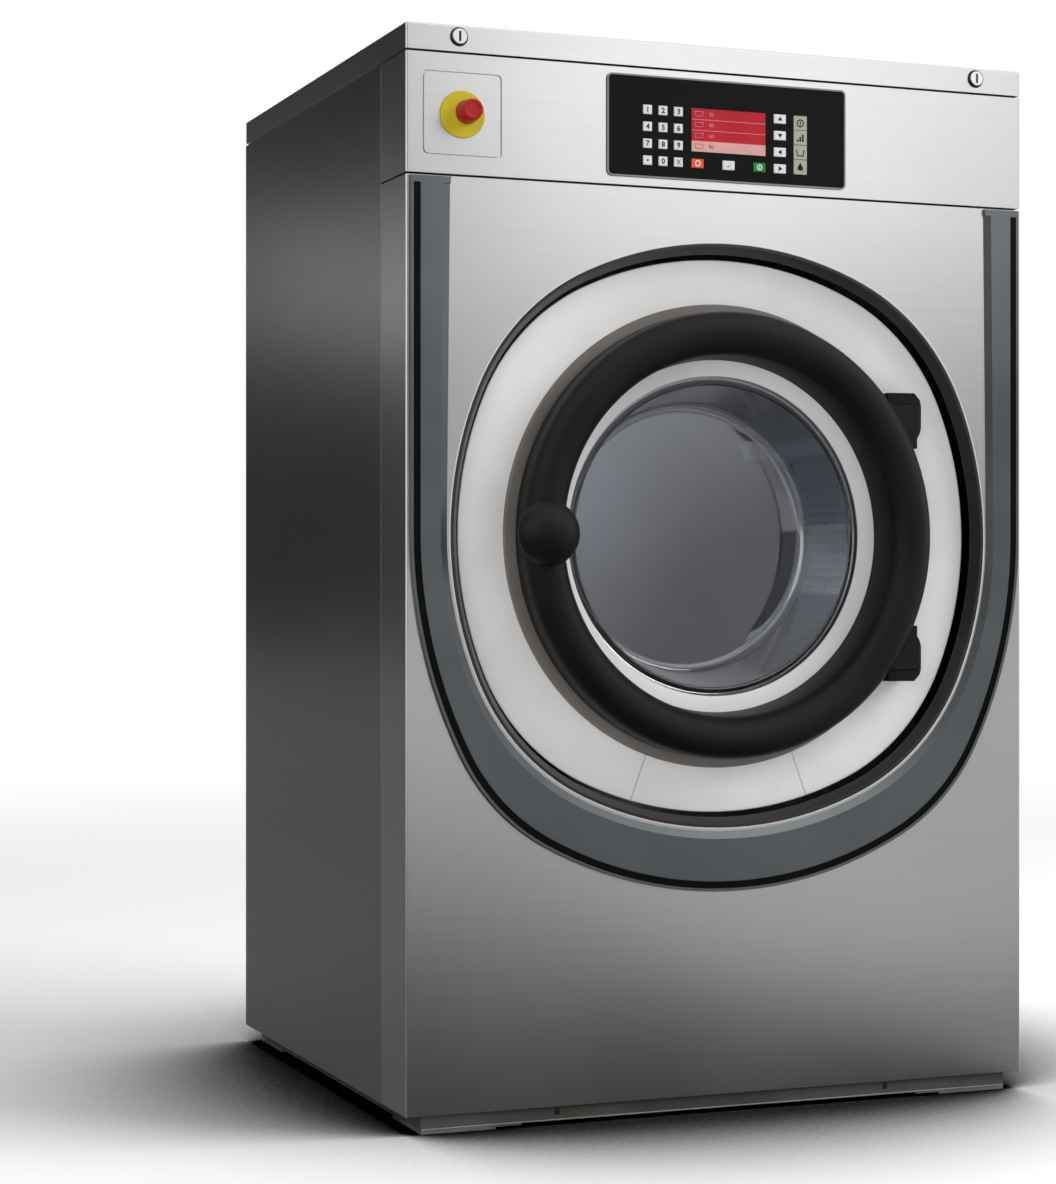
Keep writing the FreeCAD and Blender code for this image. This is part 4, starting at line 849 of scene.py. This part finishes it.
def addKeyMark(bm, mark, x, front, z):
    size, stroke = keyInk["mark"], keyInk["stroke"]
    if mark.isdigit():
        addText(bm, mark, keyInk["digit"], x, front, z, keyInk["bold"])
    elif mark in keyInk["arrows"]:
        turned = Matrix.Rotation(math.radians(keyInk["arrows"][mark]), 2)
        slab(bm, shifted([turned @ (Vector(p) * size) for p in keyInk["arrow"]], x, z), front, inkDepth)
    elif mark == "point":
        slab(bm, rectangle(x - stroke, z - stroke, x + stroke, z + stroke), front, inkDepth)
    elif mark == "clear":
        half = size / 2
        for rise in (-half, half):
            leg = [(-half, -rise), (stroke - half, -rise), (half, rise), (half - stroke, rise)]
            slab(bm, shifted(leg, x, z), front, inkDepth)
    elif mark == "enter":
        slab(bm, shifted([Vector(p) * size for p in keyInk["tick"]], x, z), front, inkDepth)
    else:        # a ring on the stop key, a ring with a bar on the start key
        addRing(bm, x, front, z, size * keyInk["ring"], stroke)
        if mark == "start":
            reach = size * keyInk["bar"]
            slab(bm, rectangle(x - stroke / 2, z - reach, x + stroke / 2, z + reach), front, inkDepth)


def makeKeyLegends():
    for name in list(nodes):
        if not name.startswith("key_"):
            continue
        low, _, centre = boxOf(name)
        mark = name.removeprefix("key_")
        bm = bmesh.new()
        addKeyMark(bm, mark, centre.x, low.y - inkDepth / 2, centre.z)
        keepPiece("legend." + mark, bm, name, inkPale if mark in ("start", "stop") else inkDark)


makeBezelRimHighlight()
makeKeyLegends()
print("keys marked")

displayRows = {
    "numbers": ("30", "40", "60", "90"), "line": 0.0006, "film": 0.0001, "iconWidth": 0.0105,
    "iconHeight": 0.005, "iconFoot": 0.78, "stroke": 0.00045, "iconX": 0.0085, "numberX": 0.0225,
    "numberSize": 0.0058,
}


def addTub(bm, x, front, z):
    # a wash tub drawn as an outline, narrower at its foot
    wide, tall = displayRows["iconWidth"] / 2, displayRows["iconHeight"] / 2
    foot = wide * displayRows["iconFoot"]
    addFrame(bm, shifted([(-wide, tall), (-foot, -tall), (foot, -tall), (wide, tall)], x, z),
             displayRows["stroke"], front, front + inkDepth)


def makeDisplayRows():
    low, high = boxOf("display_window")[:2]
    line, film = displayRows["line"], displayRows["film"]
    count = len(displayRows["numbers"])
    pitch = (high.z - low.z) / count
    front = low.y - film
    bm = bmesh.new()
    slab(bm, rectangle(low.x, low.z, high.x, low.z + pitch - line), front, film)
    keepPiece("displayPaleRow", bm, "cabinet", rowPink)
    lines = bmesh.new()
    paleMarks = bmesh.new()
    for row in range(1, count):
        z = low.z + row * pitch
        slab(lines, rectangle(low.x, z - line, high.x, z), front, film)
    for row, number in enumerate(reversed(displayRows["numbers"])):
        marks = lines if row else paleMarks
        z = low.z + (row + 0.5) * pitch
        addTub(marks, low.x + displayRows["iconX"], front - film, z)
        addText(marks, number, displayRows["numberSize"], low.x + displayRows["numberX"], front - film, z)
    keepPiece("displayLines", lines, "cabinet", linePink)
    keepPiece("displayPaleMarks", paleMarks, "cabinet", inkRed)


legendStrip = {
    "left": 0.0762, "right": 0.0917, "foot": -0.0396, "top": 0.0223,        # from the middle of the bezel
    "corner": 0.0012, "line": 0.0005, "proud": 0.0003,
    "rows": 4, "ring": 0.0042, "ringStroke": 0.0012, "hand": (0.0006, 0.0018),
    "bars": ((-0.003, -0.0018), (0, 0.001), (0.003, 0.0038)), "barHalf": 0.001, "barFoot": 0.004,
    "basin": ((-0.005, 0.003), (-0.0038, 0.003), (-0.0028, -0.003), (0.0028, -0.003), (0.0038, 0.003),
              (0.005, 0.003), (0.0036, -0.0042), (-0.0036, -0.0042)),
    "drop": ((-0.0025, -0.0035), (0.0025, -0.0035), (0.0035, -0.001), (0, 0.005), (-0.0035, -0.001)),
    "dropRound": 0.0012,
}


def makeLegendStrip():
    strip = legendStrip
    low, _, centre = boxOf("control_bezel")
    x0, x1 = centre.x + strip["left"], centre.x + strip["right"]
    z0, z1 = centre.z + strip["foot"], centre.z + strip["top"]
    front = low.y - strip["proud"]
    bm = bmesh.new()
    slab(bm, rectangle(x0, z0, x1, z1), front, strip["proud"], strip["corner"])
    keepPiece("legendStrip", bm, "cabinet", legendSage)
    marks = bmesh.new()
    x = (x0 + x1) / 2
    pitch = (z1 - z0) / strip["rows"]
    markLayer = front - inkDepth
    for row in range(1, strip["rows"]):
        edge = z0 + row * pitch
        slab(marks, rectangle(x0, edge, x1, edge + strip["line"]), markLayer, inkDepth)
    dropZ, basinZ, barsZ, clockZ = (z0 + (row + 0.5) * pitch for row in range(strip["rows"]))
    slab(marks, shifted(strip["drop"], x, dropZ), markLayer, inkDepth, strip["dropRound"])
    slab(marks, shifted(strip["basin"], x, basinZ), markLayer, inkDepth)
    barHalf, barFoot = strip["barHalf"], barsZ - strip["barFoot"]
    for across, top in strip["bars"]:
        bar = rectangle(x + across - barHalf, barFoot, x + across + barHalf, barsZ + top)
        slab(marks, bar, markLayer, inkDepth)
    half, reach = strip["hand"]
    addRing(marks, x, markLayer, clockZ, strip["ring"], strip["ringStroke"])
    slab(marks, rectangle(x - half, clockZ - reach, x + half, clockZ + reach), markLayer, inkDepth)
    keepPiece("legendMarks", marks, "cabinet", inkDark)


makeDisplayRows()
makeLegendStrip()
print("control face dressed")


# studio

studio = {
    "lamps": {"key": {"place": (3.2, -1.6, 3.4), "size": 3.0, "power": 185},
              "fill": {"place": (-2.6, -3.4, 1.6), "size": 2.4, "power": 48}},
    "lampAim": (0, 0, 0.55), "ambient": 0.5,
    "floorColour": colour(246, 246, 246), "floorSize": 7.0, "floorSteps": 64, "floorFade": (1.2, 5.0),
    "floorLift": 0.12,        # a little glow of its own, so that the floor meets the backdrop
    "contactColour": colour(6, 6, 6), "contactReach": 0.6, "contactRange": (0.5, 0.97), "contactSamples": 16,
    "glowLean": 0.4,        # how far a glow leans to the side as it rises
    # cards that only polished surfaces see: low corner, high corner, shade
    # two colours in place of a shade make a glow from foot to top
    "flags": {
        "sideBackTop": ((-7.0, 3.6, 1.5), (-0.5, 3.62, 6.0), 0.0),
        "sideBackPatch": ((-3.2, 3.6, 1.17), (-1.42, 3.62, 1.5), 0.66),
        "sideBackPatchLeft": ((-7.0, 3.6, 1.17), (-3.2, 3.62, 1.5), 0.02),
        "sideBackPatchRight": ((-1.42, 3.6, 1.17), (-0.5, 3.62, 1.5), 0.02),
        "sideBackMid": ((-7.0, 3.6, 0.4), (-0.5, 3.62, 1.17), 0.01),
        "sideBackLow": ((-7.0, 3.6, 0.0), (-0.5, 3.62, 0.4), 0.15),
        "sideFloorFar": ((-5.0, 1.0, 0.002), (-0.36, 3.6, 0.004), 0.16),
        "sideFloorNear": ((-5.0, -0.4, 0.002), (-0.36, 1.0, 0.004), 0.18),
        "frontLow": ((-3.0, -3.64, 0.0), (6.0, -3.62, 0.3), 0.68),
        "frontMid": ((-3.0, -3.64, 0.3), (6.0, -3.62, 0.6), 1.0),
        "frontBand": ((-3.0, -3.64, 0.6), (6.0, -3.62, 1.27), 0.0),
        "frontTop": ((0.75, -3.64, 1.27), (2.45, -3.62, 4.0), ((1.5, 1.5, 1.5, 1), (1.5, 1.5, 1.5, 1))),
        "frontLeft": ((-3.0, -3.62, 1.22), (0.85, -3.6, 3.0), 0.34),
        "frontRight": ((2.4, -3.62, 1.22), (5.0, -3.6, 3.0), 0.62),
        "frontFloorFar": ((0.4, -3.6, 0.002), (1.2, -1.05, 0.004), 0.46),
        "frontFloorFarLeft": ((-5.0, -3.6, 0.002), (0.4, -1.05, 0.004), 0.0),
        "frontFloorNear": ((-5.0, -1.05, 0.002), (0.38, -0.29, 0.004), 0.0),
        "frontFloorRight": ((0.38, -1.05, 0.002), (1.2, -0.29, 0.004), 0.12),
        "frontFloorEnd": ((1.2, -3.6, 0.002), (6.0, -0.29, 0.004), 0.2),
        "glassFront": ((1.05, -3.59, 0.3), (2.1, -3.58, 1.1), ((0.02, 0.0, 0.0, 1), (1.25, 1.32, 1.44, 1))),
    },
}


def makeLamp(name, place, size, power):
    lamp = bpy.data.lights.new(name, "AREA")
    lamp.size = size
    lamp.energy = power
    holder = bpy.data.objects.new(name, lamp)
    bpy.context.scene.collection.objects.link(holder)
    holder.location = place
    holder.visible_glossy = False
    holder.rotation_euler = (Vector(studio["lampAim"]) - Vector(place)).to_track_quat("-Z", "Y").to_euler()


def makeWorld():
    world = bpy.data.worlds.new("studio")
    world.use_nodes = True
    bpy.context.scene.world = world
    tree = world.node_tree
    background = tree.nodes["Background"]
    background.inputs["Color"].default_value = (1, 1, 1, 1)
    path = tree.nodes.new("ShaderNodeLightPath")
    seen = path.outputs["Is Camera Ray"]
    for title in ("Is Glossy Ray", "Is Transmission Ray"):
        most = tree.nodes.new("ShaderNodeMath")
        most.operation = "MAXIMUM"
        tree.links.new(seen, most.inputs[0])
        tree.links.new(path.outputs[title], most.inputs[1])
        seen = most.outputs[0]
    tree.links.new(spread(tree, seen, 0, 1, studio["ambient"], 1.0), background.inputs["Strength"])


def makeFloor():
    bm = bmesh.new()
    bmesh.ops.create_circle(bm, cap_ends=True, segments=studio["floorSteps"], radius=studio["floorSize"])
    mesh = bpy.data.meshes.new("floor")
    bm.to_mesh(mesh)
    bm.free()
    floor = bpy.data.objects.new("floor", mesh)
    bpy.context.scene.collection.objects.link(floor)
    finish, tree, shader = startFinish("floorPale", 0.0, 0.6, 0.0)
    contact = tree.nodes.new("ShaderNodeAmbientOcclusion")        # the close soft shadow round the base
    contact.samples = studio["contactSamples"]
    contact.inputs["Distance"].default_value = studio["contactReach"]
    openness = spread(tree, contact.outputs["AO"], *studio["contactRange"])
    tree.links.new(mixColours(tree, openness, studio["contactColour"], studio["floorColour"]),
                   shader.inputs["Base Color"])
    tree.links.new(mixColours(tree, openness, (0, 0, 0, 1), (1, 1, 1, 1)), shader.inputs["Emission Color"])
    path = tree.nodes.new("ShaderNodeLightPath")
    tree.links.new(spread(tree, path.outputs["Is Camera Ray"], 0, 1, 0.0, studio["floorLift"]),
                   shader.inputs["Emission Strength"])
    place = tree.nodes.new("ShaderNodeTexCoord")
    far = tree.nodes.new("ShaderNodeVectorMath")
    far.operation = "LENGTH"
    tree.links.new(place.outputs["Object"], far.inputs[0])
    tree.links.new(spread(tree, far.outputs["Value"], *studio["floorFade"], 1.0, 0.0), shader.inputs["Alpha"])
    mesh.materials.append(finish)


def makeFlag(name, low, high, shade):
    bm = bmesh.new()
    block(bm, low, high)
    mesh = bpy.data.meshes.new(name)
    bm.to_mesh(mesh)
    bm.free()
    card = bpy.data.objects.new(name, mesh)
    bpy.context.scene.collection.objects.link(card)
    finish, tree, shader = startFinish(name + "Card", 0.0, 1.0, 0.0)
    if isinstance(shade, tuple):
        shader.inputs["Base Color"].default_value = (0, 0, 0, 1)
        shader.inputs["Emission Strength"].default_value = 1.0
        place = tree.nodes.new("ShaderNodeTexCoord")
        rise = tree.nodes.new("ShaderNodeVectorMath")
        rise.operation = "DOT_PRODUCT"
        rise.inputs[1].default_value = (-studio["glowLean"], 0, 1)
        tree.links.new(place.outputs["Object"], rise.inputs[0])
        shift = studio["glowLean"] * low[0]
        share = spread(tree, rise.outputs["Value"], low[2] - shift, high[2] - shift)
        tree.links.new(mixColours(tree, share, *shade), shader.inputs["Emission Color"])
    else:
        shader.inputs["Base Color"].default_value = (shade, shade, shade, 1)
    mesh.materials.append(finish)
    card.visible_camera = False
    card.visible_diffuse = False
    card.visible_shadow = False
    card.visible_transmission = False


makeWorld()
for lampName, lampValues in studio["lamps"].items():
    makeLamp(lampName, **lampValues)
makeFloor()
for flagName, (flagLow, flagHigh, flagShade) in studio["flags"].items():
    makeFlag(flagName, flagLow, flagHigh, flagShade)
bpy.context.scene.view_settings.view_transform = "Standard"

# the camera as it was solved from the cabinet's edges in the photograph
view = {"place": (-1.18941, -2.76494, 0.54459), "turn": -21.29, "lens": 79.53, "sensor": 36}
camera = bpy.data.cameras.new("camera")
camera.lens = view["lens"]
camera.sensor_width = view["sensor"]
cameraHolder = bpy.data.objects.new("camera", camera)
bpy.context.scene.collection.objects.link(cameraHolder)
cameraHolder.location = view["place"]
cameraHolder.rotation_euler = (math.pi / 2, 0, math.radians(view["turn"]))
bpy.context.scene.camera = cameraHolder
print("studio set")
